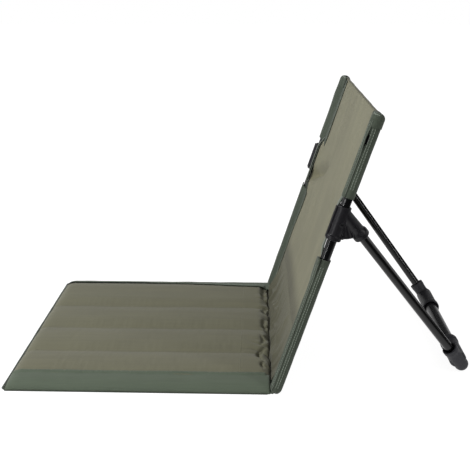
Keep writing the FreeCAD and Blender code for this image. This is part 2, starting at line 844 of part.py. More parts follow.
os.makedirs("parts", exist_ok=True)
for label, item in subparts.items():
    item.Shape.exportStep("parts/%s.step" % label)
box_all = Part.makeCompound([item.Shape for item in subparts.values()]).BoundBox
print("%d sub-parts, box %s" % (len(subparts), box_all))
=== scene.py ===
"""Looks of the low ground chair: padded mat, cloth back on two poles and the stand behind it.

Metres. +Z up, the sitter faces -Y, the sitter's left is +X. A place on the back is given by its distance
across the chair, its distance behind the poles' plane and its distance up the poles from the ground.
"""

import json
import logging
import math
from collections.abc import Callable, Mapping
from dataclasses import dataclass, field
from enum import Enum
from functools import partial
from typing import Any

import bmesh
import bpy
from bmesh.types import BMEdge, BMesh, BMVert
from bpy.types import Material, Mesh, Modifier, Node, NodeSocket, NodeTree, Object
from mathutils import Matrix, Vector, noise


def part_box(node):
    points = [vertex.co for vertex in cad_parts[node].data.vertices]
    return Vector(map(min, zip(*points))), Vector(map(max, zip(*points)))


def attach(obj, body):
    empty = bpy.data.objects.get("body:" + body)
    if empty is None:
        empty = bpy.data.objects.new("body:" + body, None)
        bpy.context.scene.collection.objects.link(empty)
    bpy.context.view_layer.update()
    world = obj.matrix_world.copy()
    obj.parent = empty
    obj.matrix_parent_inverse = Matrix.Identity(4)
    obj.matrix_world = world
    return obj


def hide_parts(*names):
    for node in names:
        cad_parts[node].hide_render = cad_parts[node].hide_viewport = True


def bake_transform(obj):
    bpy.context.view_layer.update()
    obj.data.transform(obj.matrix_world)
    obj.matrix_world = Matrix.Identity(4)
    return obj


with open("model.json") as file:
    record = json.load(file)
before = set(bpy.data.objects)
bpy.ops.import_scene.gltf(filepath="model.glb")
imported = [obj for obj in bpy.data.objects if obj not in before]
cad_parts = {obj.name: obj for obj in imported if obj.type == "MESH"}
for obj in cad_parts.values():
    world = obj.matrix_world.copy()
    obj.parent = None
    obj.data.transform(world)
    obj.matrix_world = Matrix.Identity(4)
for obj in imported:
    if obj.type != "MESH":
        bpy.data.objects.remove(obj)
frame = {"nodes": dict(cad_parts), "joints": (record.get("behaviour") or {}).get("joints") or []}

logging.basicConfig(level=logging.INFO, format="%(levelname)s %(message)s")
log = logging.getLogger("ground_chair")

Pair = tuple[float, float]
Triple = tuple[float, float, float]
Place = Callable[[float, float], Vector]
Section = Callable[[float, float], Pair]
MM = 0.001
WAVE_PERIOD = 0.31416  # length of one band of the wave texture at scale 1
WHITE = (1.0, 1.0, 1.0, 1.0)


class Side(Enum):
    """Sides of the chair, seen by the sitter, with the sign of their X."""

    LEFT = 1
    RIGHT = -1

    @property
    def label(self) -> str:
        """Side's word in the names of the CAD nodes."""
        return self.name.lower()


class Body(Enum):
    """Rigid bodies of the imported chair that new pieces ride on."""

    SEAT = "seat"
    BACK = "backrest"
    LEFT_FOOT = "left_foot"
    RIGHT_FOOT = "right_foot"


def mm(*sizes: float) -> tuple[float, ...]:
    """Turn sizes in millimetres into metres."""
    return tuple(size * MM for size in sizes)


def clamp(share: float) -> float:
    """Hold a share between 0 and 1."""
    return min(max(share, 0.0), 1.0)


def mix(first: float, last: float, share: float) -> float:
    """Value at a share of the way from one value to another."""
    return first + (last - first) * share


def smooth_step(low: float, high: float, value: float) -> float:
    """Ease from 0 at the first bound to 1 at the second, which may lie below it."""
    share = clamp((value - low) / (high - low))
    return share * share * (3 - 2 * share)


def plateau(value: float, first: float, second: float, third: float, last: float) -> float:
    """Ease up to 1 between the first two bounds and back to 0 between the last two."""
    return smooth_step(first, second, value) * (1 - smooth_step(third, last, value))


def hump(gap: float, width: float, power: int = 2) -> float:
    """Bell of height 1 that falls off on both sides of a place."""
    return math.exp(-(gap / width) ** power)


def round_off(gap: float, length: float) -> float:
    """Share of the full size at a distance from an edge that rounds off as a quarter circle."""
    return math.sqrt(1 - (1 - clamp(gap / length)) ** 2)


def ripple(*place: float) -> float:
    """Smooth noise from -1 to 1 at a place that is already divided by the ripple's size."""
    return noise.noise(Vector((place + (0.0, 0.0))[:3]))


def srgb(code: str) -> tuple[float, float, float, float]:
    """Turn a hex colour into the linear colour that shaders take.

    Args:
        code: six hex digits.

    Returns:
        Linear red, green, blue and full alpha.
    """
    shares = [int(code[place:place + 2], 16) / 255 for place in (0, 2, 4)]
    linear = [share / 12.92 if share <= 0.04045 else ((share + 0.055) / 1.055) ** 2.4 for share in shares]
    return linear[0], linear[1], linear[2], 1.0


def assign(target: Any, **values: Any) -> None:
    """Set several properties of one thing."""
    for name, value in values.items():
        setattr(target, name, value)


def add_node(tree: NodeTree, kind: str, inputs: Mapping[str | int, Any] | None = None,
             **settings: Any) -> Node:
    """Add a shader node, set its properties, and set or link its inputs.

    Args:
        tree: node tree that gets the node.
        kind: type name of the node.
        inputs: values or output sockets, by the input's name or number.
        **settings: properties of the node.

    Returns:
        The new node.
    """
    node = tree.nodes.new(kind)
    assign(node, **settings)
    for key, value in (inputs or {}).items():
        if isinstance(value, NodeSocket):
            tree.links.new(value, node.inputs[key])
        else:
            node.inputs[key].default_value = value
    return node


def remap(tree: NodeTree, value: NodeSocket, source: Pair, target: Pair, kind: str = "LINEAR") -> NodeSocket:
    """Add a node that maps one range of values to another."""
    ends = {"From Min": source[0], "From Max": source[1], "To Min": target[0], "To Max": target[1]}
    return add_node(tree, "ShaderNodeMapRange", {"Value": value, **ends}, interpolation_type=kind).outputs[0]


def combine(tree: NodeTree, operation: str, first: Any, second: Any, **settings: Any) -> NodeSocket:
    """Add a node that combines two values."""
    return add_node(tree, "ShaderNodeMath", {0: first, 1: second}, operation=operation, **settings).outputs[0]


def grain(tree: NodeTree, place: NodeSocket, scale: float, detail: float = 2.0) -> NodeSocket:
    """Add a cloudy noise."""
    inputs = {"Vector": place, "Scale": scale, "Detail": detail}
    return add_node(tree, "ShaderNodeTexNoise", inputs).outputs["Fac"]


def new_material(name: str) -> tuple[Material, NodeTree]:
    """Make a material with an empty node tree.

    Args:
        name: name of the real material.

    Returns:
        The material and its tree.
    """
    material = bpy.data.materials.new(name)
    material.use_nodes = True
    material.node_tree.nodes.clear()
    return material, material.node_tree


def close_tree(tree: NodeTree, inputs: Mapping[str | int, Any]) -> None:
    """Close a material's tree with a principled surface."""
    surface = add_node(tree, "ShaderNodeBsdfPrincipled", inputs).outputs["BSDF"]
    add_node(tree, "ShaderNodeOutputMaterial", {"Surface": surface})


@dataclass(frozen=True)
class WovenCloth:
    """Plain-woven polyester cloth: yarn grid, soft streaks along the yarns and cloudy wear.

    Attributes:
        name: name of the real cloth.
        colour: hex colour of the lit cloth.
        shade: hex colour between the yarns and in worn patches.
        yarn: distance between yarns, coarsened to about twice the real 0.5 mm so that a photograph shows it.
        streak: size of the streaks along and across the yarns.
        streak_share: how far streaks pull towards the shade.
        relief: height of the yarns.
        sheen: share of soft light at grazing angles.
        painted_shading: painted shade and painted light up the cloth, as stretches, each with its two ends
            and the share of light it has past the second; below 1 is painted shade, above 1 painted light.
    """

    name: str
    colour: str
    shade: str
    yarn: float = 1.1 * MM
    streak: Pair = (60 * MM, 2.5 * MM)
    streak_share: float = 0.25
    relief: float = 0.12 * MM
    sheen: float = 0.15
    painted_shading: tuple[Triple, ...] = ()

    def build(self) -> Material:
        """Build the cloth's material, which gives the eye a matte surface with a fine directed grain.

        Returns:
            The material.
        """
        material, tree = new_material(self.name)
        place = add_node(tree, "ShaderNodeUVMap", uv_map="UVMap").outputs["UV"]
        yarns = {"Vector": place, "Scale": WAVE_PERIOD / self.yarn, "Distortion": 0.4}
        bands = [
            add_node(tree, "ShaderNodeTexWave", yarns, wave_type="BANDS", bands_direction=way).outputs["Fac"]
            for way in ("X", "Y")
        ]
        weave = combine(tree, "MAXIMUM", bands[0], bands[1])
        scale = (1 / self.streak[0], 1 / self.streak[1], 1.0)
        stretched = add_node(tree, "ShaderNodeMapping", {"Vector": place, "Scale": scale}).outputs["Vector"]
        worn = remap(tree, grain(tree, stretched, 1.0, 3.0), (0.3, 0.7), (0.0, self.streak_share))
        gap = remap(tree, weave, (0.2, 0.9), (0.35, 0.0))
        cloudy = remap(tree, grain(tree, place, 9.0), (0.35, 0.65), (0.0, 0.12))
        share = combine(tree, "ADD", combine(tree, "ADD", worn, gap), cloudy, use_clamp=True)
        tints = {0: share, 6: srgb(self.colour), 7: srgb(self.shade)}
        tint = add_node(tree, "ShaderNodeMix", tints, data_type="RGBA").outputs[2]
        up = add_node(tree, "ShaderNodeSeparateXYZ", {"Vector": place}).outputs["Y"]
        # Painted shade and painted light: the colour is scaled by a share of light in each stretch up the
        # cloth.
        for first, last, light in self.painted_shading:
            level = remap(tree, up, (first, last), (1.0, light), "SMOOTHSTEP")
            dimmed = add_node(tree, "ShaderNodeVectorMath", {0: tint, "Scale": level}, operation="SCALE")
            tint = dimmed.outputs[0]
        bump = add_node(tree, "ShaderNodeBump", {"Height": weave, "Strength": 0.5, "Distance": self.relief})
        close_tree(tree, {
            "Base Color": tint, "Roughness": 0.85, "Specular IOR Level": 0.25, "Sheen Weight": self.sheen,
            "Sheen Roughness": 0.5, "Normal": bump.outputs["Normal"]})
        return material


@dataclass(frozen=True)
class CoatedMetal:
    """Powder-coated or blackened steel: smooth colour with a faint unevenness of the coat.

    Attributes:
        name: name of the real material.
        colour: hex colour of the coat.
        roughness: smoothest and roughest patches of the coat.
        metal: share of bare-metal reflection.
        shine: strength of its reflections.
        patch: size of the uneven patches.
    """

    name: str
    colour: str
    roughness: Pair = (0.14, 0.2)
    metal: float = 0.0
    shine: float = 0.1
    patch: float = 4 * MM

    def build(self) -> Material:
        """Build the coat, which gives the eye a dark tube with thin bright lines along it.

        Returns:
            The material.
        """
        material, tree = new_material(self.name)
        place = add_node(tree, "ShaderNodeTexCoord").outputs["Object"]
        rough = remap(tree, grain(tree, place, 1 / self.patch), (0.0, 1.0), self.roughness)
        close_tree(tree, {
            "Base Color": srgb(self.colour), "Metallic": self.metal, "Roughness": rough,
            "Specular IOR Level": self.shine})
        return material


@dataclass(frozen=True)
class MouldedNylon:
    """Glass-filled nylon from a textured mould: dark, with a fine grain and broad soft highlights.

    Attributes:
        name: name of the real material.
        colour: hex colour of the plastic.
        roughness: spread of its highlights.
        shine: strength of its highlights.
        speck: size of the mould's texture.
        relief: height of that texture.
    """

    name: str
    colour: str
    roughness: float = 0.42
    shine: float = 0.2
    speck: float = 0.6 * MM
    relief: float = 0.04 * MM

    def build(self) -> Material:
        """Build the plastic, which gives the eye a charcoal casting with soft shine on its round edges.

        Returns:
            The material.
        """
        material, tree = new_material(self.name)
        place = add_node(tree, "ShaderNodeTexCoord").outputs["Object"]
        specks = grain(tree, place, 1 / self.speck)
        bump = add_node(tree, "ShaderNodeBump", {"Height": specks, "Strength": 0.6, "Distance": self.relief})
        close_tree(tree, {
            "Base Color": srgb(self.colour), "Roughness": self.roughness, "Specular IOR Level": self.shine,
            "Normal": bump.outputs["Normal"]})
        return material


@dataclass(frozen=True)
class Finishes:
    """Every finish on the chair, built once."""

    seat: Material
    fold: Material
    trim: Material
    back: Material
    sleeve: Material
    edge: Material
    thread: Material
    binding: Material
    paint: Material
    bar: Material
    hub: Material
    foot: Material
    cap: Material
    rivet: Material

    @classmethod
    def build(cls) -> "Finishes":
        """Build the set of materials.

        Returns:
            The finishes.
        """
        # Painted shade in the bottom of the fold's crease, then painted light up the back's side of the
        # gusset.
        fold_painted_shading = ((58 * MM, 85 * MM, 0.6), (92 * MM, 120 * MM, 1.15), (116 * MM, 136 * MM, 1.15))
        return cls(
            seat=WovenCloth("khaki_oxford_cloth", "6a6955", "57564a", streak=(5 * MM, 120 * MM)).build(),
            fold=WovenCloth("gathered_khaki_cloth", "6a6955", "57564a", streak=(5 * MM, 120 * MM),
                            painted_shading=fold_painted_shading).build(),
            trim=WovenCloth("dark_green_oxford_cloth", "566051", "434b3f", streak=(90 * MM, 4 * MM)).build(),
            # Painted shade on the panel's lower part, darker towards the fold.
            back=WovenCloth("light_khaki_oxford_cloth", "787660", "62604e", streak=(26 * MM, 130 * MM),
                            streak_share=0.4, painted_shading=((92 * MM, 58 * MM, 0.52),)).build(),
            sleeve=WovenCloth("dark_green_sleeve_cloth", "454d41", "30372d", streak=(3 * MM, 60 * MM),
                              streak_share=0.5).build(),
            edge=WovenCloth("grey_edge_tape", "646b60", "4e554b", streak=(2 * MM, 20 * MM),
                            sheen=0.3).build(),
            thread=MouldedNylon("grey_green_thread", "868e83", roughness=0.7).build(),
            binding=WovenCloth("black_green_binding", "3b4239", "2d332c", streak=(60 * MM, 3 * MM)).build(),
            paint=CoatedMetal("black_powder_coat", "070708", roughness=(0.1, 0.16), shine=0.42).build(),
            bar=CoatedMetal("dark_grey_powder_coat", "1c1c1f", roughness=(0.2, 0.28), shine=0.4).build(),
            hub=MouldedNylon("charcoal_nylon", "161519", roughness=0.36, shine=0.32).build(),
            foot=MouldedNylon("matte_charcoal_nylon", "2c2c31", roughness=0.5, shine=0.35, speck=0.9 * MM,
                              relief=0.09 * MM).build(),
            cap=MouldedNylon("black_polyethylene", "161616").build(),
            rivet=CoatedMetal("blackened_steel", "2c2c2e", roughness=(0.3, 0.45), metal=0.8).build(),
        )


def link_mesh(name: str, mesh: BMesh) -> Object:
    """Store a bmesh as a new object at the origin.

    Args:
        name: object's name.
        mesh: finished bmesh, which is freed.

    Returns:
        The linked object.
    """
    data = bpy.data.meshes.new(name)
    mesh.to_mesh(data)
    mesh.free()
    item = bpy.data.objects.new(name, data)
    bpy.context.scene.collection.objects.link(item)
    return item


def open_rim(mesh: BMesh) -> list[BMEdge]:
    """Edges along the open rims of a mesh."""
    return [edge for edge in mesh.edges if edge.is_boundary]


def close_rims(mesh: BMesh) -> None:
    """Fill the open rims of a mesh and turn its faces outwards."""
    bmesh.ops.holes_fill(mesh, edges=open_rim(mesh), sides=0)
    bmesh.ops.recalc_face_normals(mesh, faces=mesh.faces)


def make_cloth(name: str, cells: tuple[int, int], flat: Pair, place: Place, closed: bool = False) -> Object:
    """Lay a grid of cloth on a formula.

    Args:
        name: object's name.
        cells: number of cells along the cloth's two edges.
        flat: cloth's flat size, which its UV map holds in metres.
        place: point of the cloth for shares from 0 to 1 along its edges.
        closed: whether the second edge closes on itself and the ends are filled.

    Returns:
        The cloth.
    """
    mesh = bmesh.new()
    bmesh.ops.create_grid(mesh, x_segments=cells[0], y_segments=cells[1], size=0.5)
    layer = mesh.loops.layers.uv.new("UVMap")
    for face in mesh.faces:
        face.smooth = True
        for loop in face.loops:
            loop[layer].uv = ((loop.vert.co.x + 0.5) * flat[0], (loop.vert.co.y + 0.5) * flat[1])
    for vert in mesh.verts:
        vert.co = place(vert.co.x + 0.5, vert.co.y + 0.5)
    if closed:
        bmesh.ops.remove_doubles(mesh, verts=mesh.verts, dist=1e-6)
        close_rims(mesh)
    return link_mesh(name, mesh)


def make_threads(name: str, ends: list[tuple[Vector, Vector]], radius: float) -> Object:
    """Make a row of short threads.

    Args:
        name: object's name.
        ends: both ends of each thread.
        radius: radius of the thread.

    Returns:
        The threads as one object.
    """
    mesh = bmesh.new()
    for start, end in ends:
        run = end - start
        turn = run.to_track_quat("Z", "Y").to_matrix().to_4x4()
        spot = Matrix.Translation((start + end) / 2) @ turn
        bmesh.ops.create_cone(mesh, cap_ends=True, segments=6, radius1=radius, radius2=radius,
                              depth=run.length, matrix=spot)
    return link_mesh(name, mesh)


def add_modifier(item: Object, kind: str, **settings: Any) -> Modifier:
    """Add a modifier to an object and set its properties.

    Args:
        item: object that gets it.
        kind: type of the modifier.
        **settings: its properties.

    Returns:
        The modifier.
    """
    modifier = item.modifiers.new(kind.lower(), kind)
    assign(modifier, **settings)
    return modifier


def thicken(item: Object, cloth: float) -> None:
    """Give a sheet of cloth its thickness, half to each side."""
    add_modifier(item, "SOLIDIFY", thickness=cloth, offset=0.0)


def baked(item: Object) -> Mesh:
    """Mesh of an object with its modifiers applied."""
    graph = bpy.context.evaluated_depsgraph_get()
    return bpy.data.meshes.new_from_object(item.evaluated_get(graph))


def finish_piece(item: Object, material: Material, body: Body | None,
                 replaced: tuple[str, ...] = ()) -> None:
    """Give a piece its finish and tie it to its CAD body.

    Args:
        item: new piece.
        material: its finish.
        body: body that it rides on, or None, which ties it to no body.
        replaced: CAD nodes that it stands for.
    """
    item.data.materials.clear()
    item.data.materials.append(material)
    if body is not None:
        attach(item, body.value)
    if replaced:
        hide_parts(*replaced)
    log.info("%s: %d faces", item.name, len(item.data.polygons))


@dataclass(frozen=True)
class Layout:
    """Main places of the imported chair.

    Attributes:
        half: distance of a pole's axis from the middle of the chair.
        foot_y: where the poles' plane meets the ground.
        lean: how far the back leans from upright.
    """

    half: float
    foot_y: float
    lean: float = math.radians(17.7)

    @classmethod
    def from_frame(cls) -> "Layout":
        """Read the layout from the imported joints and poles.

        Returns:
            The layout.
        """
        hinge = next(joint for joint in frame["joints"] if joint["name"] == "back_fold")["pos_m"]
        low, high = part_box("left_pole")
        return cls(half=(low.x + high.x) / 2, foot_y=hinge[1] - hinge[2] * math.tan(cls.lean))

    def back_point(self, across: float, behind: float, along: float) -> Vector:
        """Place of a point of the back.

        Args:
            across: distance from the middle of the chair.
            behind: distance behind the poles' plane.
            along: distance up the poles from the ground.

        Returns:
            The point.
        """
        sine = math.sin(self.lean)
        cosine = math.cos(self.lean)
        y = self.foot_y + along * sine + behind * cosine
        return Vector((across, y, along * cosine - behind * sine))


@dataclass(frozen=True)
class BorderForm:
    """How one side's border lies on the mat.

    Attributes:
        lap: how far its inner edge reaches over the cover, at the front and at the rear.
        lift: height of the lap above the cover.
        lip: thickness of the lap's edge where it is undercut.
        hollow: how far it is undercut.
        cracked: whether the fold has cracked it behind the mat.
    """

    lap: Pair
    lift: float
    lip: float = 0.0
    hollow: float = 0.0
    cracked: bool = False


@dataclass
class SeatMat:
    """Quilted mat on the ground, with dark stuffed borders and a bound front edge."""

    finishes: Finishes
    seams: tuple[float, ...] = mm(-178, -70, 18, 102, 174)
    edge: float = 203 * MM
    front: float = -329.04 * MM
    rear: float = 39.29 * MM
    crown: float = 17 * MM  # height in the middle of a channel
    seam: float = 13 * MM  # height at a seam between channels
    side: float = 14 * MM  # height at a border
    base: float = 1 * MM
    lowest: float = 2 * MM
    front_rise: float = 18 * MM
    rear_rise: float = 4 * MM
    front_low: float = 0.35
    rear_low: float = 0.75
    near_border: BorderForm = BorderForm(lap=(5 * MM, 5 * MM), lift=0.9 * MM, cracked=True)
    far_border: BorderForm = BorderForm(lap=(0.0, 24 * MM), lift=2.1 * MM, lip=0.7 * MM, hollow=5 * MM)
    lap_start: float = -170 * MM  # where a lap starts to widen
    tail: float = 11 * MM  # how far the borders reach behind the mat
    taper: float = 4 * MM
    crack: float = 5.2 * MM  # place of the crack behind the mat
    crack_width: float = 1.5 * MM
    crack_depth: float = 0.65
    binding: Pair = (4.4 * MM, 6.0 * MM)  # height and depth of the bound front edge
    binding_lap: float = 1.0 * MM
    sunk: float = 38 * MM  # length of the rear end under the gusset
    sunk_depth: float = 7 * MM
    slack: float = 0.007  # share of extra cloth between the seams
    crumple: float = 0.7 * MM
    cells: tuple[int, int] = (28, 114)
    frames: int = 24
    heights: list[float] = field(default_factory=list)  # of the puffed cover, row by row

    @property
    def channels(self) -> int:
        """Number of padded channels."""
        return len(self.seams) - 1

    def channel(self, x: float) -> tuple[int, float]:
        """Number of the channel at a place across the mat, and the share across that channel."""
        index = sum(1 for seam in self.seams[1:-1] if x >= seam)
        return index, (x - self.seams[index]) / (self.seams[index + 1] - self.seams[index])

    def inside(self, y: float) -> float:
        """Distance of a place from the nearer of the front and the rear edge."""
        return min(y - self.front, self.rear - y)

    def share(self, y: float) -> float:
        """Share of the full height at a place between the front and the rear edge."""
        front = mix(self.front_low, 1.0, round_off(y - self.front, self.front_rise))
        return min(front, mix(self.rear_low, 1.0, round_off(self.rear - y, self.rear_rise)))

    def top(self, x: float, y: float) -> float:
        """Height of the quilted cover before it is puffed up.

        Args:
            x: place across the mat.
            y: place along it.

        Returns:
            The height above the ground.
        """
        place, across = self.channel(x)
        left = self.side if place == 0 else self.seam
        right = self.side if place + 1 == self.channels else self.seam
        arch = 4 * across * (1 - across)
        height = mix(left, right, across) + (self.crown - 0.5 * (left + right)) * arch
        return mix(self.base, height, self.share(y))

    def cover_point(self, u: float, v: float) -> Vector:
        """Point of the cover.

        Args:
            u: share across the mat, counted in channels.
            v: share along it.

        Returns:
            The point.
        """
        place = min(int(u * self.channels + 1e-6), self.channels - 1)
        x = mix(self.seams[place], self.seams[place + 1], u * self.channels - place)
        y = mix(self.front, self.rear, v)
        return Vector((x, y, self.top(x, y)))

    def puff(self, cover: Object) -> None:
        """Let the slack cover rise between its stitched seams in a cloth simulation.

        Args:
            cover: flat quilted cover, whose mesh takes the puffed form.
        """
        pins = cover.vertex_groups.new(name="seams")
        for vert in cover.data.vertices:
            on_seam = min(abs(vert.co.x - seam) for seam in self.seams) < 0.1 * MM
            if on_seam or self.inside(vert.co.y) < 0.01 * MM:
                pins.add([vert.index], 1.0, "REPLACE")
        cloth = add_modifier(cover, "CLOTH")
        assign(cloth.settings, quality=6, mass=0.15, tension_stiffness=25, compression_stiffness=25,
               shear_stiffness=8, bending_stiffness=0.4, air_damping=4, vertex_group_mass=pins.name,
               shrink_min=-self.slack)
        cloth.settings.effector_weights.gravity = -0.8
        cloth.collision_settings.use_collision = False
        assign(cloth.point_cache, frame_start=1, frame_end=self.frames)
        scene = bpy.context.scene
        for number in range(1, self.frames + 1):
            scene.frame_set(number)
        puffed = baked(cover)
        cover.modifiers.remove(cloth)
        cover.vertex_groups.clear()
        scene.frame_set(1)
        limit = self.crown + 2 * MM
        for vert, risen in zip(cover.data.vertices, puffed.vertices):
            calm = min(self.inside(vert.co.y) / (40 * MM), 1.0)
            crumple = self.crumple * calm * ripple(vert.co.x / 0.035, vert.co.y / 0.06, 5.0)
            vert.co = Vector((risen.co.x, risen.co.y, min(max(risen.co.z + crumple, self.lowest), limit)))
        bpy.data.meshes.remove(puffed)

    def surface(self, x: float, y: float) -> float:
        """Height of the puffed cover.

        Args:
            x: place across the mat.
            y: place along it.

        Returns:
            The height above the ground.
        """
        place, share = self.channel(min(max(x, self.seams[0]), self.seams[-1]))
        row_length = self.channels * self.cells[0] + 1
        column = (place + share) * self.cells[0]
        row = clamp((y - self.front) / (self.rear - self.front)) * self.cells[1]
        left = min(int(column), row_length - 2)
        low = min(int(row), self.cells[1] - 1)
        starts = [line * row_length + left for line in (low, low + 1)]
        lines = [mix(self.heights[start], self.heights[start + 1], column - left) for start in starts]
        return mix(lines[0], lines[1], row - low)

    def sink(self, cover: Object) -> None:
        """Lower the cover's rear end, where the gathered cloth of the fold lies on it.

        Args:
            cover: puffed cover, whose heights are noted first.
        """
        self.heights = [vert.co.z for vert in cover.data.vertices]
        start = self.rear - self.sunk
        for vert in cover.data.vertices:
            depth = self.sunk_depth * smooth_step(start, start + 10 * MM, vert.co.y)
            vert.co.z = max(vert.co.z - depth, self.lowest)

    def close_below(self, cover: Object) -> None:
        """Fold the cover's edges down to the base cloth and close it underneath.

        Args:
            cover: open cover.
        """
        mesh = bmesh.new()
        mesh.from_mesh(cover.data)
        grown = bmesh.ops.extrude_edge_only(mesh, edges=open_rim(mesh))["geom"]
        for vert in grown:
            if isinstance(vert, BMVert):
                vert.co.z = self.base
        close_rims(mesh)
        mesh.to_mesh(cover.data)
        mesh.free()

    def build_cover(self) -> None:
        """Build the padded cover."""
        cells = (self.channels * self.cells[0], self.cells[1])
        flat = (self.seams[-1] - self.seams[0], self.rear - self.front)
        cover = make_cloth("quilted_cover", cells, flat, self.cover_point)
        self.puff(cover)
        self.sink(cover)
        self.close_below(cover)
        foams = tuple(f"seat_foam_{index + 1}" for index in range(self.channels))
        finish_piece(cover, self.finishes.seat, Body.SEAT, ("seat_cover",) + foams)

    def border_point(self, side: Side, u: float, v: float) -> Vector:
        """Point of a border: its underside, then up and over to the cover, and down under its lap.

        Args:
            side: side of the chair.
            u: share along the mat, from its front.
            v: share round the border's section.

        Returns:
            The point.
        """
        near = side is Side.LEFT
        form = self.near_border if near else self.far_border
        inner = abs(self.seams[-1 if near else 0])
        last = self.rear + self.tail
        y = mix(self.front, last, u)
        end = smooth_step(last, last - self.taper, y)
        crack = hump(y - self.rear - self.crack, self.crack_width) if form.cracked else 0.0
        kept = 1 - self.crack_depth * crack
        share = self.share(min(y, self.rear - 6 * MM)) * mix(0.6, 1.0, end) * kept
        height = self.side * share * (1 + 0.05 * ripple(y / 0.03, side.value * 3.1))
        full = self.edge - inner
        width = full * (mix(0.75, 1.0, end) - 0.06 * crack) + 0.6 * MM * ripple(y / 0.05, 7.7)
        lap = mix(form.lap[0], form.lap[1], smooth_step(self.lap_start, self.rear, y))
        under_end, over_end, lap_end = 1.0, 3.0, 3.6
        turn = v * 4
        if turn < under_end:
            place = (width * turn, 0.0)
        elif turn < over_end:
            angle = (turn - under_end) / (over_end - under_end) * math.pi / 2
            place = (width * math.cos(angle) ** 0.75, height * math.sin(angle) ** 0.8)
        else:
            part = min((turn - over_end) / (lap_end - over_end), 1.0)
            level = (self.surface(side.value * (inner - lap * part), y) + form.lift) * kept
            place = (-lap * part, mix(height, level, smooth_step(0, 0.4, part)))
            if turn > lap_end:
                under = (turn - lap_end) / (4 - lap_end)
                hollow = min(form.hollow, 0.8 * lap) * smooth_step(0, 0.5, under)
                place = (hollow - lap, (place[1] - form.lip) * (1 - smooth_step(0.5, 1.0, under)))
        return Vector((side.value * (inner + place[0]), y, 0.2 * MM + place[1]))

    def build_borders(self) -> None:
        """Build the stuffed side borders."""
        flat = (self.rear - self.front, 100 * MM)
        for side in Side:
            border = make_cloth(f"{side.label}_border", (300, 40), flat, partial(self.border_point, side),
                                closed=True)
            finish_piece(border, self.finishes.trim, Body.SEAT, (f"{side.label}_seat_border",))

    def binding_point(self, u: float, v: float) -> Vector:
        """Point of the bound front edge.

        Args:
            u: share across the mat.
            v: share round the binding's section.

        Returns:
            The point.
        """
        x = (2 * u - 1) * self.edge
        end = smooth_step(self.edge, self.edge - 3 * MM, abs(x))
        height = (self.binding[0] + 0.8 * MM * ripple(x / 0.03, 1.3)) * mix(0.35, 1.0, end)
        half = self.binding[1] / 2
        angle = v * 2 * math.pi
        y = self.front + self.binding_lap - half - half * math.cos(angle) + (1 - end) * 4 * MM
        return Vector((x, y, 0.3 * MM + height / 2 * (1 - math.sin(angle))))

    def base_point(self, u: float, v: float) -> Vector:
        """Point of the base cloth for shares across and along the mat."""
        return Vector(((2 * u - 1) * (self.edge + 1.2 * MM), mix(self.front, self.rear, v), 0.5 * MM))

    def build_binding(self) -> None:
        """Build the bound front edge and the base cloth."""
        reach = 2 * self.edge
        binding = make_cloth("front_edge", (160, 16), (reach, 21 * MM), self.binding_point, closed=True)
        finish_piece(binding, self.finishes.binding, Body.SEAT, ("front_binding",))
        size = (2 * self.edge + 2.4 * MM, self.rear - self.front)
        base = make_cloth("base_cloth", (40, 40), size, self.base_point)
        thicken(base, 0.8 * MM)
        finish_piece(base, self.finishes.binding, Body.SEAT, ("seat_base_cloth",))

    def build(self) -> None:
        """Build the whole mat."""
        self.build_cover()
        self.build_borders()
        self.build_binding()


@dataclass(frozen=True)
class Strip:
    """Strip of cloth that follows a section along a pole.

    Attributes:
        name: piece's name, without its side.
        span: distances of its ends from the ground, up the pole.
        width: width of the cloth.
        section: section across the strip, outwards from the pole's axis and behind it.
        slant: how far the inner edge's ends lie above the outer edge's, at the bottom and at the top.
        close: length over which the bottom and the top round off to a closed end, or 0.
        gapes: whether its outer edge stands off where the seam has opened.
        nodes: CAD nodes of the side that it stands for.
    """

    name: str
    span: Pair
    width: float
    section: Section
    slant: Pair = (0.0, 0.0)
    close: Pair = (0.0, 0.0)
    gapes: bool = False
    nodes: tuple[str, ...] = ()

    @property
    def length(self) -> float:
        """Length of the strip."""
        return self.span[1] - self.span[0]

    def shrink(self, along: float) -> float:
        """Share of the full section that is left where an end rounds off."""
        gaps = ((along - self.span[0], self.close[0]), (self.span[1] - along, self.close[1]))
        return math.prod(round_off(gap, length) for gap, length in gaps if length)


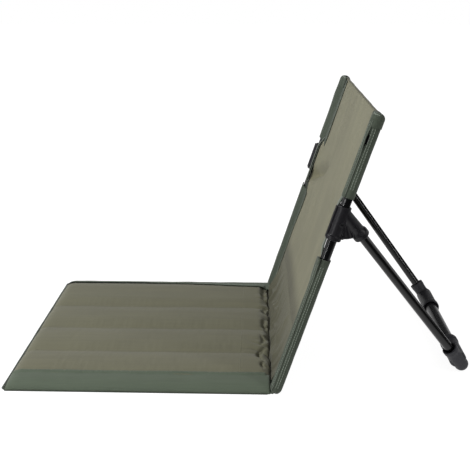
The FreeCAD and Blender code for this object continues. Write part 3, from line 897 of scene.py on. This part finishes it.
@dataclass
class BackCloth:
    """Cloth back: panel, hem, and on each side the tunnels that hold the pole."""

    layout: Layout
    finishes: Finishes
    bottom: float = 30 * MM
    top: float = 408 * MM
    window: Pair = (209 * MM, 297 * MM)  # bare stretch of the pole beside a hub
    edge: float = 183 * MM
    window_edge: float = 191 * MM
    bulge: Pair = (6.5 * MM, 2.925 * MM)  # forwards beside the left and the right hub
    dent: Pair = (1.5 * MM, 14 * MM)  # depth of the left and the right tension fold
    sag: float = 2.5 * MM
    crease: float = 72 * MM  # height of the line above the gusset
    crease_depth: float = 1.1 * MM
    tuck: float = 4.5 * MM  # how far the panel lies back behind the gusset
    hem: float = 25 * MM
    hem_turn: float = 0.15  # share of the hem that bends over the edge
    hem_gap: float = 1.25 * MM
    hem_drop: Pair = (0.8 * MM, 22 * MM)  # down the front and the rear
    band: float = 41 * MM
    band_rise: float = 23 * MM
    band_widens: Pair = (29 * MM, 9 * MM)  # left and right, towards the window
    band_gap: float = 1.1 * MM
    band_start: float = math.radians(-15)
    band_turn: float = math.radians(50)
    wrap: float = 8.6 * MM  # radius of a band round the pole
    tunnel: float = 7.6 * MM  # radius of a tunnel round the pole
    tunnel_tail: float = 30 * MM
    tunnel_start: float = 195  # degrees round the pole, from its front
    tunnel_turn: float = 225  # degrees
    pocket_turn: float = math.radians(210)
    pocket_tail: float = 24 * MM
    cloth: float = 0.8 * MM
    pitch: float = 3.6 * MM
    stitch: float = 2.6 * MM
    tape: float = 15 * MM
    tape_gap: float = 1.1 * MM

    def opening(self, along: float) -> float:
        """Share of the bare window beside a hub, from 0 under the sleeves to 1 in its middle."""
        low, high = self.window
        return plateau(along, low - 14 * MM, low + 16 * MM, high - 16 * MM, high + 12 * MM)

    def fold(self, across: float, along: float) -> float:
        """Share of the depth of the tension fold that runs inwards and up from each hub."""
        inward = (190 * MM - abs(across)) / (132 * MM)
        return hump(along - 230 * MM - 47 * MM * inward, 11 * MM) * plateau(inward, -0.05, 0.15, 0.6, 1.1)

    def panel_behind(self, across: float, along: float) -> float:
        """Distance of the panel behind the poles' plane.

        Args:
            across: distance from the middle of the chair.
            along: distance up the poles.

        Returns:
            The distance, which is below 0 in front of the plane.
        """
        index = 0 if across > 0 else 1
        rise = clamp((along - self.bottom) / (self.top - self.bottom))
        sag = self.sag * (1 - (across / self.edge) ** 2) * math.sin(math.pi * rise)
        forward = self.bulge[index] * smooth_step(138 * MM, 186 * MM, abs(across)) * self.opening(along)
        broad = 0.7 * MM * ripple(across / 0.07, along / 0.11, 3.0)
        fine = 0.4 * MM * ripple(across / 0.025, along / 0.14)
        crease = self.crease_depth * (1 + 0.6 * ripple(across / 0.05, 9.0))
        crease *= hump(along - self.crease, 6 * MM)
        calm = smooth_step(self.edge, self.edge - 30 * MM, abs(across))
        dent = self.dent[index] * self.fold(across, along)
        tucked = smooth_step(self.crease, 50 * MM, along) * smooth_step(-170 * MM, -152 * MM, across)
        return sag - forward + calm * (broad + fine + crease) + dent + self.tuck * tucked

    def panel_edge(self, along: float) -> float:
        """Half width of the panel."""
        return mix(self.edge, self.window_edge, self.opening(along))

    def panel_point(self, u: float, v: float) -> Vector:
        """Point of the panel.

        Args:
            u: share across the chair.
            v: share up the panel.

        Returns:
            The point.
        """
        along = mix(self.bottom, self.top, v)
        across = (2 * u - 1) * self.panel_edge(along)
        return self.layout.back_point(across, self.panel_behind(across, along), along)

    def hem_point(self, u: float, v: float) -> Vector:
        """Point of the hem that folds over the panel's top edge.

        Args:
            u: share across the chair.
            v: share over the edge, from the front.

        Returns:
            The point.
        """
        across = (2 * u - 1) * self.edge
        turn = 2 * v - 1
        crest = self.top + 1.2 * MM + 0.4 * MM * ripple(across / 0.06, 5.0)
        if abs(turn) > self.hem_turn:
            crest -= (abs(turn) - self.hem_turn) / (1 - self.hem_turn) * self.hem_drop[0 if turn < 0 else 1]
            offset = math.copysign(self.hem_gap, turn)
        else:
            angle = turn / self.hem_turn * math.pi / 2
            crest += 1.0 * MM * math.cos(angle)
            offset = self.hem_gap * math.sin(angle)
        return self.layout.back_point(across, self.panel_behind(across, self.top) + offset, crest)

    def build_panel(self) -> None:
        """Build the panel and the hem over its top edge."""
        flat = (2 * self.window_edge, self.top - self.bottom)
        panel = make_cloth("back_cloth", (130, 150), flat, self.panel_point)
        thicken(panel, 0.9 * MM)
        finish_piece(panel, self.finishes.back, Body.BACK, ("back_panel",))
        hem = make_cloth("top_edge", (120, 14), (2 * self.edge, self.hem), self.hem_point)
        thicken(hem, 0.7 * MM)
        finish_piece(hem, self.finishes.back, Body.BACK, ("top_hem",))

    def band_reach(self, along: float, side: Side) -> float:
        """Distance of a band's inner edge from the pole's axis; lower bands widen towards their top."""
        widens = self.band_widens[0 if side is Side.LEFT else 1] * smooth_step(125 * MM, 195 * MM, along)
        return self.band if along > self.window[0] + 20 * MM else self.band_rise + widens

    def band_section(self, share: float, along: float, side: Side) -> Pair:
        """Section of the dark band on the panel's front: flat, then up and over the pole's front.

        Args:
            share: place across the band, from its inner edge.
            along: distance up the pole.
            side: side of the chair.

        Returns:
            Distances from the pole's axis, outwards and behind.
        """
        reach = self.band_reach(along, side)
        rise = min(reach, self.band_rise)
        turn = self.wrap * (self.band_turn - self.band_start)
        near = (self.wrap * math.sin(self.band_start), -self.wrap * math.cos(self.band_start))
        length = share * (reach + near[0] + turn)
        if length < reach - rise:
            return length - reach, -self.band_gap
        if length < reach + near[0]:
            part = (length - reach + rise) / (rise + near[0])
            return length - reach, mix(-self.band_gap, near[1], smooth_step(0, 1, part))
        angle = self.band_start + (length - reach - near[0]) / self.wrap
        return self.wrap * math.sin(angle), -self.wrap * math.cos(angle)

    def slit(self, along: float) -> float:
        """How far a tunnel's seam has opened, as a share: beside the top and at the lower tunnel's mouth."""
        upper = plateau(along, *mm(352, 374, 378, 394))
        return max(upper, 0.8 * plateau(along, *mm(180, 206, 209, 215)))

    def tunnel_width(self, along: float) -> float:
        """Width of the tunnel's cloth, which is turned back where its seam has opened."""
        return self.tunnel_tail + self.tunnel * math.radians(self.tunnel_turn - 100 * self.slit(along))

    def tunnel_share(self, angle: float, along: float) -> float:
        """Share across the tunnel's cloth that lies at an angle round the pole, from its front."""
        reach = self.tunnel_tail + self.tunnel * math.radians(self.tunnel_start - angle)
        return reach / self.tunnel_width(along)

    def tunnel_section(self, share: float, along: float) -> Pair:
        """Section of the tunnel: from the panel's rear round the outside of the pole to its front.

        Args:
            share: place across the cloth, from its edge behind the panel.
            along: distance up the pole.

        Returns:
            Distances from the pole's axis, outwards and behind.
        """
        start = math.radians(self.tunnel_start)
        near = (self.tunnel * math.sin(start), -self.tunnel * math.cos(start))
        length = share * self.tunnel_width(along)
        if length < self.tunnel_tail:
            part = length / self.tunnel_tail
            return mix(-self.tunnel_tail, near[0], part), mix(1.3 * MM, near[1], smooth_step(0, 1, part))
        angle = start - (length - self.tunnel_tail) / self.tunnel
        return self.tunnel * math.sin(angle), -self.tunnel * math.cos(angle)

    def pocket_section(self, share: float, along: float) -> Pair:
        """Section of the top pocket: a strip folded round the pole, with both tails on the panel.

        Args:
            share: place across the strip.
            along: distance up the pole, at which the section is the same.

        Returns:
            Distances from the pole's axis, outwards and behind.
        """
        radius = self.wrap - 0.1 * MM
        half = self.pocket_turn / 2
        length = abs(share - 0.5) * 2 * (self.pocket_tail + radius * half)
        turn = math.copysign(1.0, 0.5 - share)
        if length < radius * half:
            return radius * math.cos(length / radius), turn * radius * math.sin(length / radius)
        part = (length - radius * half) / self.pocket_tail
        behind = mix(radius * math.sin(half), 2.4 * MM, smooth_step(0, 1, part))
        return mix(radius * math.cos(half), -26 * MM, part), turn * behind

    def strip_point(self, strip: Strip, side: Side, u: float, v: float, lift: float = 0.0) -> Vector:
        """Point of a strip.

        Args:
            strip: strip of cloth.
            side: side of the chair.
            u: share across the strip.
            v: share along the pole.
            lift: distance off the cloth, away from the pole.

        Returns:
            The point.
        """
        outward, behind = strip.section(u, mix(strip.span[0], strip.span[1], v))
        inner = max(-outward / self.band, 0.0)
        along = mix(strip.span[0] + strip.slant[0] * inner, strip.span[1] + strip.slant[1] * inner, v)
        near = smooth_step(-30 * MM, -9 * MM, outward)
        lift += near * 0.35 * MM * ripple(along / 0.025, outward / 0.01, side.value * 2.0)
        if strip.gapes:
            lift += 2.0 * MM * smooth_step(0.86, 1.0, u) * self.slit(along)
        radius = max(math.hypot(outward, behind), 1e-6)
        grow = lift / radius if near > 0.5 else lift / max(abs(behind), 1e-6)
        keep = 1 - near * (1 - strip.shrink(along))
        across = self.layout.half + outward * (1 + near * lift / radius) * keep
        return self.layout.back_point(side.value * across, behind * (1 + grow) * keep, along)

    def strips(self, side: Side) -> tuple[Strip, ...]:
        """Strips of one side: bands on the panel's front, tunnels round the pole and the top pocket.

        Args:
            side: side of the chair.

        Returns:
            The strips, from the bottom up.
        """
        band = 45 * MM + self.wrap * (self.band_turn - self.band_start)
        low_band = band if side is Side.LEFT else band - 15 * MM
        tunnel = self.tunnel_tail + self.tunnel * math.radians(self.tunnel_turn)
        pocket = 2 * self.pocket_tail + self.wrap * self.pocket_turn
        low_end, high_start = self.window
        on_band = partial(self.band_section, side=side)
        return (
            Strip("lower_band", (1.0 * MM, low_end), low_band, on_band, (0.0, -12 * MM), (9 * MM, 0.0),
                  gapes=True),
            Strip("lower_tunnel", (0.6 * MM, low_end), tunnel, self.tunnel_section, close=(9 * MM, 0.0),
                  nodes=("lower_sleeve",)),
            Strip("upper_band", (high_start, 405.5 * MM), band, on_band, (-6 * MM, 1 * MM), (0.0, 4 * MM),
                  gapes=True),
            Strip("upper_tunnel", (high_start, 408 * MM), tunnel, self.tunnel_section, close=(0.0, 6 * MM),
                  nodes=("upper_sleeve",)),
            Strip("pocket", (392 * MM, 410.5 * MM), pocket, self.pocket_section, (0.0, -1 * MM),
                  (0.0, 7 * MM), nodes=("top_pocket",)),
        )

    def build_side(self, side: Side) -> None:
        """Build one side's strips, their stitches and the tape of its window.

        Args:
            side: side of the chair.
        """
        strips = self.strips(side)
        for strip in strips:
            flat = (strip.width, strip.length)
            item = make_cloth(f"{side.label}_{strip.name}", (56, 96), flat,
                              partial(self.strip_point, strip, side))
            thicken(item, self.cloth)
            replaced = tuple(f"{side.label}_{node}" for node in strip.nodes)
            finish_piece(item, self.finishes.sleeve, Body.BACK, replaced)
            if strip.gapes:
                self.build_stitches(strip, side, (lambda along: 0.92, lambda along: 0.03))
                edge = [self.strip_point(strip, side, 0.985, 0.04 + 0.92 * step / 90, 0.35 * MM)
                        for step in range(91)]
                self.build_roll(f"{item.name}_raw_edge", edge, 0.5 * MM, self.finishes.edge)
            elif strip.section == self.tunnel_section:
                rows = (partial(self.tunnel_share, 72), partial(self.tunnel_share, 94))
                self.build_stitches(strip, side, rows)
        rim = [self.strip_point(strips[-1], side, 0.5 + 0.44 * step / 24, 0.88, 0.4 * MM)
               for step in range(25)]
        self.build_roll(f"{side.label}_pocket_fold", rim, 0.6 * MM, self.finishes.thread)
        self.build_tape(side)

    def build_roll(self, name: str, places: list[Vector], radius: float, material: Material) -> None:
        """Lay a thin rolled edge along a line of places."""
        rolled = make_threads(name, list(zip(places, places[1:])), radius)
        finish_piece(rolled, material, Body.BACK)

    def build_stitches(self, strip: Strip, side: Side, rows: tuple[Callable[[float], float], ...]) -> None:
        """Sew rows of stitches along a strip.

        Args:
            strip: strip of cloth.
            side: side of the chair.
            rows: each row's share across the strip, by the distance up the pole.
        """
        ends = []
        for row in rows:
            for number in range(int((strip.length - 18 * MM) / self.pitch)):
                start = 12 * MM + number * self.pitch
                spots = (start, start + self.stitch)
                shares = [row(strip.span[0] + spot) for spot in spots]
                if shares[1] <= 1:
                    first, last = (
                        self.strip_point(strip, side, min(share, 1.0), spot / strip.length, 0.5 * MM)
                        for share, spot in zip(shares, spots))
                    ends.append((first, last))
        stitches = make_threads(f"{side.label}_{strip.name}_stitches", ends, 0.3 * MM)
        finish_piece(stitches, self.finishes.thread, Body.BACK)

    def tape_point(self, side: Side, low: float, high: float, u: float, v: float) -> Vector:
        """Point of the tape that folds round the panel's edge.

        Args:
            side: side of the chair.
            low: distance of its lower end up the pole.
            high: distance of its upper end.
            u: share across the tape.
            v: share up the tape.

        Returns:
            The point.
        """
        along = mix(low, high, v)
        turn = 2 * u - 1
        across = self.panel_edge(along) + 0.9 * MM - abs(turn) * self.tape / 2
        offset = self.tape_gap * math.sin(math.pi / 2 * max(min(3 * turn, 1), -1))
        return self.layout.back_point(side.value * across, self.panel_behind(across, along) + offset, along)

    def build_tape(self, side: Side) -> None:
        """Build the light tape that folds round the panel's edge in a window.

        Args:
            side: side of the chair.
        """
        low, high = self.window[0] - 6 * MM, self.window[1] + 6 * MM
        flat = (self.tape, high - low)
        tape = make_cloth(f"{side.label}_tape", (16, 60), flat, partial(self.tape_point, side, low, high))
        thicken(tape, 0.6 * MM)
        finish_piece(tape, self.finishes.edge, Body.BACK)

    def build(self) -> None:
        """Build the whole back."""
        self.build_panel()
        for side in Side:
            self.build_side(side)


@dataclass(frozen=True)
class Crease:
    """One furrow or tuck of the gathered cloth.

    Attributes:
        middle: its middle, across the chair.
        long: half its length.
        start: its distance behind the fold's crease, or its height above the ground.
        bend: how far its ends lie past its middle, or how far it leans.
        wide: half its width.
        depth: its depth or height.
    """

    middle: float
    long: float
    start: float
    bend: float
    wide: float
    depth: float

    def size(self, x: float, place: float, power: int) -> float:
        """Depth at a place; power 2 bends both ends the same way and 1 leans the crease."""
        way = (x - self.middle) / self.long
        return self.depth * hump(way, 1.0, 4) * hump(place - self.start - self.bend * way ** power, self.wide)


@dataclass
class Gusset:
    """Gathered cloth in the fold between the mat and the back."""

    layout: Layout
    finishes: Finishes
    mat: SeatMat
    half: float = 181.5 * MM
    round_length: float = 210 * MM  # round the whole section
    top: float = 78 * MM
    crease: float = 43.5 * MM
    pinch: float = 7 * MM  # depth of the gathers
    sway: float = 2.6 * MM  # wandering of the crease
    narrow: Pair = (9 * MM, 19 * MM)  # on the left of the mat and on the right of the back
    corners: int = 22  # of the section
    laid: tuple[tuple[float, ...], ...] = (
        mm(40.5, -1.0), mm(37.6, 0.15), mm(30, 0.1), mm(20, 0.0), mm(11, 0.0), mm(4.5, 0.0))
    furrows: tuple[Crease, ...] = (
        Crease(*mm(108, 24, -17, 8, 3.2, 5.0)), Crease(*mm(146, 9, -12, 2, 2.4, 3.5)),
        Crease(*mm(-4, 16, -9, 3, 4, 4.5)), Crease(*mm(-138, 34, -9, 2, 5, 4.5)),
        Crease(*mm(-60, 16, -9, 4, 3.5, 3.5)), Crease(*mm(60, 14, -10, -3, 3, 3.0)))
    tucks: tuple[Crease, ...] = (
        Crease(*mm(-40, 26, 30, 3, 4, 4.0)), Crease(*mm(108, 26, 29, -8, 3.5, 4.0)),
        Crease(*mm(30, 18, 26, 4, 3.5, 3.5)), Crease(*mm(-120, 24, 27, 4, 4, 3.5)))

    def profile(self, x: float) -> list[Pair]:
        """Section of the gusset, round from the mat over the crease to the back and down behind.

        Args:
            x: place across the chair.

        Returns:
            Places along the chair and heights of the section's corners.
        """
        base = self.layout.foot_y
        rear = self.mat.rear
        ahead = [(rear - reach, self.mat.surface(x, rear - reach) + lift) for reach, lift in self.laid]
        fold = [(self.crease - 2.2 * MM, 0.8 * ahead[-1][1]), (self.crease - 0.4 * MM, 7.5 * MM),
                (self.crease + 0.6 * MM, 7.6 * MM), (self.crease + 3 * MM, 12.5 * MM),
                (base + 2.5 * MM, 19 * MM)]
        lean = [self.layout.back_point(0, *spot) for spot in (
            mm(-1.6, 36), mm(-1.3, 50), mm(-1.0, 64), (0.2 * MM, self.top), (1.4 * MM, self.top),
            mm(6.8, 45), mm(6.6, 28), mm(3.0, 6))]
        below = [(base - 6 * MM, 1.2 * MM), (rear - 20 * MM, 3 * MM), (rear - 39 * MM, 5 * MM)]
        return ahead + fold + [(spot.y, spot.z) for spot in lean] + below

    def pucker(self, x: float, gap: float) -> float:
        """Depth of the gathers beside the crease.

        Args:
            x: place across the chair.
            gap: distance behind the crease.

        Returns:
            Share of the full depth.
        """
        swell = 0.5 + 0.5 * ripple(x / 0.05, 4.4) + 0.9 * hump(x - 78 * MM, 32 * MM)
        reach = (8 * MM + 14 * MM * swell) if gap < 0 else (16 * MM + 7 * MM * swell)
        slanted = x + 0.35 * gap * ripple(x / 0.06, 1.7)
        fine = max(1 - 4.5 * abs(ripple(slanted / 0.025, gap / 0.05, 2.0)), 0.0)
        broad = max(1 - 3.0 * abs(ripple(slanted / 0.045, gap / 0.06, 8.0)), 0.0)
        return hump(gap, reach) * (0.55 * fine + 0.6 * broad * swell)

    def section_point(self, x: float, spot: float) -> Vector:
        """Point of the smooth section through the corners.

        Args:
            x: place across the chair.
            spot: place round the section, counted in corners.

        Returns:
            The point, with its X left at 0.
        """
        corners = self.profile(x)
        index = int(spot) % self.corners
        share = spot - math.floor(spot)
        a, b, c, d = (Vector((0.0,) + corners[(index + step) % self.corners]) for step in (-1, 0, 1, 2))
        return 0.5 * (2 * b + (c - a) * share + (2 * a - 5 * b + 4 * c - d) * share ** 2
                      + (3 * b - a - 3 * c + d) * share ** 3)

    def place(self, u: float, v: float) -> Vector:
        """Point of the gusset.

        Args:
            u: share across the chair.
            v: share round the gusset's section.

        Returns:
            The point.
        """
        x = (2 * u - 1) * self.half
        spot = v * self.corners
        on_back = plateau(spot, 6.0, 9.0, 17.0, 18.5)
        x *= 1 - (self.narrow[0] * (1 - on_back) if x > 0 else self.narrow[1] * on_back) / self.half
        point = self.section_point(x, spot)
        seen = plateau(spot, 0.0, 1.5, 13.2, 14.0)
        gap = point.y - self.crease
        back = smooth_step(0.0, 8 * MM, gap)
        depth = self.pinch * self.pucker(x, gap)
        furrow = sum(crease.size(x, gap, 2) for crease in self.furrows)
        tuck = sum(crease.size(x, point.z, 1) for crease in self.tucks)
        sway = self.sway * seen * hump(gap, 8 * MM) * ripple(x / 0.022, 6.0)
        ridge = seen * back * (1.3 * depth + tuck)
        sunken = seen * (1 - back) * (depth + furrow)
        height = max(point.z - sunken + 0.3 * ridge, 0.6 * MM)
        return Vector((x + 0.6 * sway, point.y + sway - 0.95 * ridge, height))

    def build(self) -> None:
        """Build the gusset round the fold between the mat and the back."""
        flat = (2 * self.half, self.round_length)
        gusset = make_cloth("fold_gusset", (330, 168), flat, self.place, closed=True)
        finish_piece(gusset, self.finishes.fold, None, ("hinge_flap", "back_hem"))
        end = tuple(self.layout.back_point(0, 0, 36 * MM))
        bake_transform(gusset)


@dataclass
class PropStand:
    """Moulded hubs and feet with rounded edges; tubes, rivets and plugs keep their CAD form."""

    finishes: Finishes
    voxel: float = 0.55 * MM
    passes: int = 8

    def mould(self, node: str, name: str, material: Material, body: Body) -> None:
        """Rebuild a moulded CAD node with soft edges and fillets.

        Args:
            node: CAD node.
            name: name of the new piece.
            material: its finish.
            body: body that it rides on.
        """
        copy = bpy.data.objects.new(name, frame["nodes"][node].data.copy())
        bpy.context.scene.collection.objects.link(copy)
        add_modifier(copy, "REMESH", mode="VOXEL", voxel_size=self.voxel)
        add_modifier(copy, "SMOOTH", iterations=self.passes, factor=0.5)
        bpy.context.view_layer.update()
        skin = baked(copy)
        copy.modifiers.clear()
        copy.data = skin
        for face in skin.polygons:
            face.use_smooth = True
        finish_piece(copy, material, body, (node,))

    def build(self) -> None:
        """Build the moulded pieces."""
        feet = {Side.LEFT: Body.LEFT_FOOT, Side.RIGHT: Body.RIGHT_FOOT}
        for side in Side:
            word = side.label
            self.mould(f"{word}_hub", f"{word}_moulded_hub", self.finishes.hub, Body.BACK)
            self.mould(f"{word}_foot", f"{word}_moulded_foot", self.finishes.foot, feet[side])

    def dress(self) -> None:
        """Give the CAD nodes that stay visible their finishes."""
        looks = {"crossbar": self.finishes.bar, "hub_rivets": self.finishes.rivet}
        for side in Side:
            for part in ("pole", "leg"):
                looks[f"{side.label}_{part}"] = self.finishes.paint
            for part in ("bottom_cap", "top_cap"):
                looks[f"{side.label}_{part}"] = self.finishes.cap
        for node, material in looks.items():
            item = frame["nodes"][node]
            item.data.materials.clear()
            item.data.materials.append(material)
            log.info("%s: %s", node, material.name)


def direct_rays(tree: NodeTree) -> NodeSocket:
    """Share of rays that see the surroundings directly, in a mirror or through something clear."""
    camera, glossy, clear = (add_node(tree, "ShaderNodeLightPath").outputs[f"Is {kind} Ray"]
                             for kind in ("Camera", "Glossy", "Transmission"))
    return combine(tree, "MAXIMUM", combine(tree, "MAXIMUM", camera, glossy), clear)


@dataclass
class Studio:
    """Camera of the photograph, soft lights, pale floor and white surroundings."""

    eye: Triple = (1.19395, 0.02334, 0.55022)
    swing: float = -0.0294
    pitch: float = 0.3106
    focal_pixels: float = 800.0
    photo_pixels: float = 470.0
    sensor: float = 36.0
    fill: float = 0.5  # light of the surroundings on the chair
    sky_rise: Pair = (0.06, 0.3)
    sky_light: Pair = (1.0, 0.08)
    floor_half: float = 9.0
    floor_level: float = -0.2 * MM
    floor_glow: float = 0.93
    floor_grey: float = 0.22
    bounce_grey: float = 0.8
    table_reach: Pair = (0.4, 0.62)
    table_light: Pair = (1.0, 0.06)
    watts: float = 9.87  # of an area light, for an exposure of 1 at 1 m

    def build_camera(self) -> None:
        """Set up the camera."""
        data = bpy.data.cameras.new("camera")
        data.lens = self.focal_pixels / self.photo_pixels * self.sensor
        data.sensor_width = self.sensor
        data.dof.use_dof = False
        camera = bpy.data.objects.new("camera", data)
        level = math.cos(self.pitch)
        look = Vector((-math.cos(self.swing) * level, math.sin(self.swing) * level, -math.sin(self.pitch)))
        camera.location = self.eye
        camera.rotation_euler = look.to_track_quat("-Z", "Y").to_euler()
        scene = bpy.context.scene
        scene.collection.objects.link(camera)
        scene.camera = camera
        scene.view_settings.view_transform = "Standard"

    def build_light(self, name: str, place: Triple, aim: Triple, size: Pair, exposure: float) -> None:
        """Add a soft area light.

        Args:
            name: light's name.
            place: where it stands.
            aim: point that it faces.
            size: width and height of its panel.
            exposure: brightness that it gives a white surface facing it at the aim.
        """
        data = bpy.data.lights.new(name, "AREA")
        reach = Vector(aim) - Vector(place)
        assign(data, shape="RECTANGLE", size=size[0], size_y=size[1],
               energy=exposure * self.watts * reach.length_squared)
        light = bpy.data.objects.new(name, data)
        light.location = place
        light.rotation_euler = reach.to_track_quat("-Z", "Y").to_euler()
        bpy.context.scene.collection.objects.link(light)

    def build_floor(self) -> None:
        """Build the pale floor, which glows towards the camera and keeps a faint shadow."""
        mesh = bmesh.new()
        bmesh.ops.create_grid(mesh, x_segments=1, y_segments=1, size=self.floor_half,
                              matrix=Matrix.Translation((0.0, 0.0, self.floor_level)))
        floor = link_mesh("floor", mesh)
        material, tree = new_material("white_sweep")
        seen = direct_rays(tree)
        place = add_node(tree, "ShaderNodeTexCoord").outputs["Object"]
        reach = add_node(tree, "ShaderNodeVectorMath", {0: place}, operation="LENGTH").outputs["Value"]
        table = remap(tree, reach, self.table_reach, self.table_light)
        mirrored = add_node(tree, "ShaderNodeLightPath").outputs["Is Glossy Ray"]
        level = add_node(tree, "ShaderNodeMix", {0: mirrored, 2: 1.0, 3: table}, data_type="FLOAT").outputs[0]
        strength = combine(tree, "MULTIPLY", level, self.floor_glow)
        glow = add_node(tree, "ShaderNodeEmission", {"Strength": strength}).outputs["Emission"]
        pale, plain = (
            add_node(tree, "ShaderNodeBsdfDiffuse", {"Color": (grey, grey, grey, 1.0)}).outputs["BSDF"]
            for grey in (self.floor_grey, self.bounce_grey))
        bright = add_node(tree, "ShaderNodeAddShader", {0: pale, 1: glow}).outputs["Shader"]
        shown = add_node(tree, "ShaderNodeMixShader", {"Fac": mirrored, 1: bright, 2: glow}).outputs["Shader"]
        mixed = add_node(tree, "ShaderNodeMixShader", {"Fac": seen, 1: plain, 2: shown}).outputs["Shader"]
        add_node(tree, "ShaderNodeOutputMaterial", {"Surface": mixed})
        floor.data.materials.append(material)

    def build_world(self) -> None:
        """Build the white surroundings, which light the chair more softly than they look."""
        world = bpy.data.worlds.new("white_room")
        bpy.context.scene.world = world
        world.use_nodes = True
        tree = world.node_tree
        tree.nodes.clear()
        seen = direct_rays(tree)
        aim = add_node(tree, "ShaderNodeTexCoord").outputs["Generated"]
        up = add_node(tree, "ShaderNodeSeparateXYZ", {"Vector": aim}).outputs["Z"]
        sky = remap(tree, up, self.sky_rise, self.sky_light)
        light, shown = (
            add_node(tree, "ShaderNodeBackground", {"Color": WHITE, "Strength": level}).outputs[0]
            for level in (self.fill, sky))
        mixed = add_node(tree, "ShaderNodeMixShader", {"Fac": seen, 1: light, 2: shown}).outputs["Shader"]
        add_node(tree, "ShaderNodeOutputWorld", {"Surface": mixed})

    def build(self) -> None:
        """Build camera, lights and surroundings."""
        self.build_camera()
        self.build_light("key", (0.6, -1.6, 1.5), (0.0, 0.05, 0.15), (0.45, 0.45), 0.72)
        self.build_light("front_strip", (1.3, -1.4, 0.22), (0.2, 0.12, 0.22), (0.07, 0.4), 0.08)
        self.build_light("rim", (0.9, 1.3, 1.1), (0.0, 0.15, 0.15), (0.09, 0.9), 0.15)
        self.build_floor()
        self.build_world()


def main() -> None:
    """Build the chair and its studio."""
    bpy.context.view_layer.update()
    layout = Layout.from_frame()
    finishes = Finishes.build()
    mat = SeatMat(finishes)
    mat.build()
    BackCloth(layout, finishes).build()
    Gusset(layout, finishes, mat).build()
    stand = PropStand(finishes)
    stand.build()
    stand.dress()
    Studio().build()


if __name__ == "__main__":
    main()
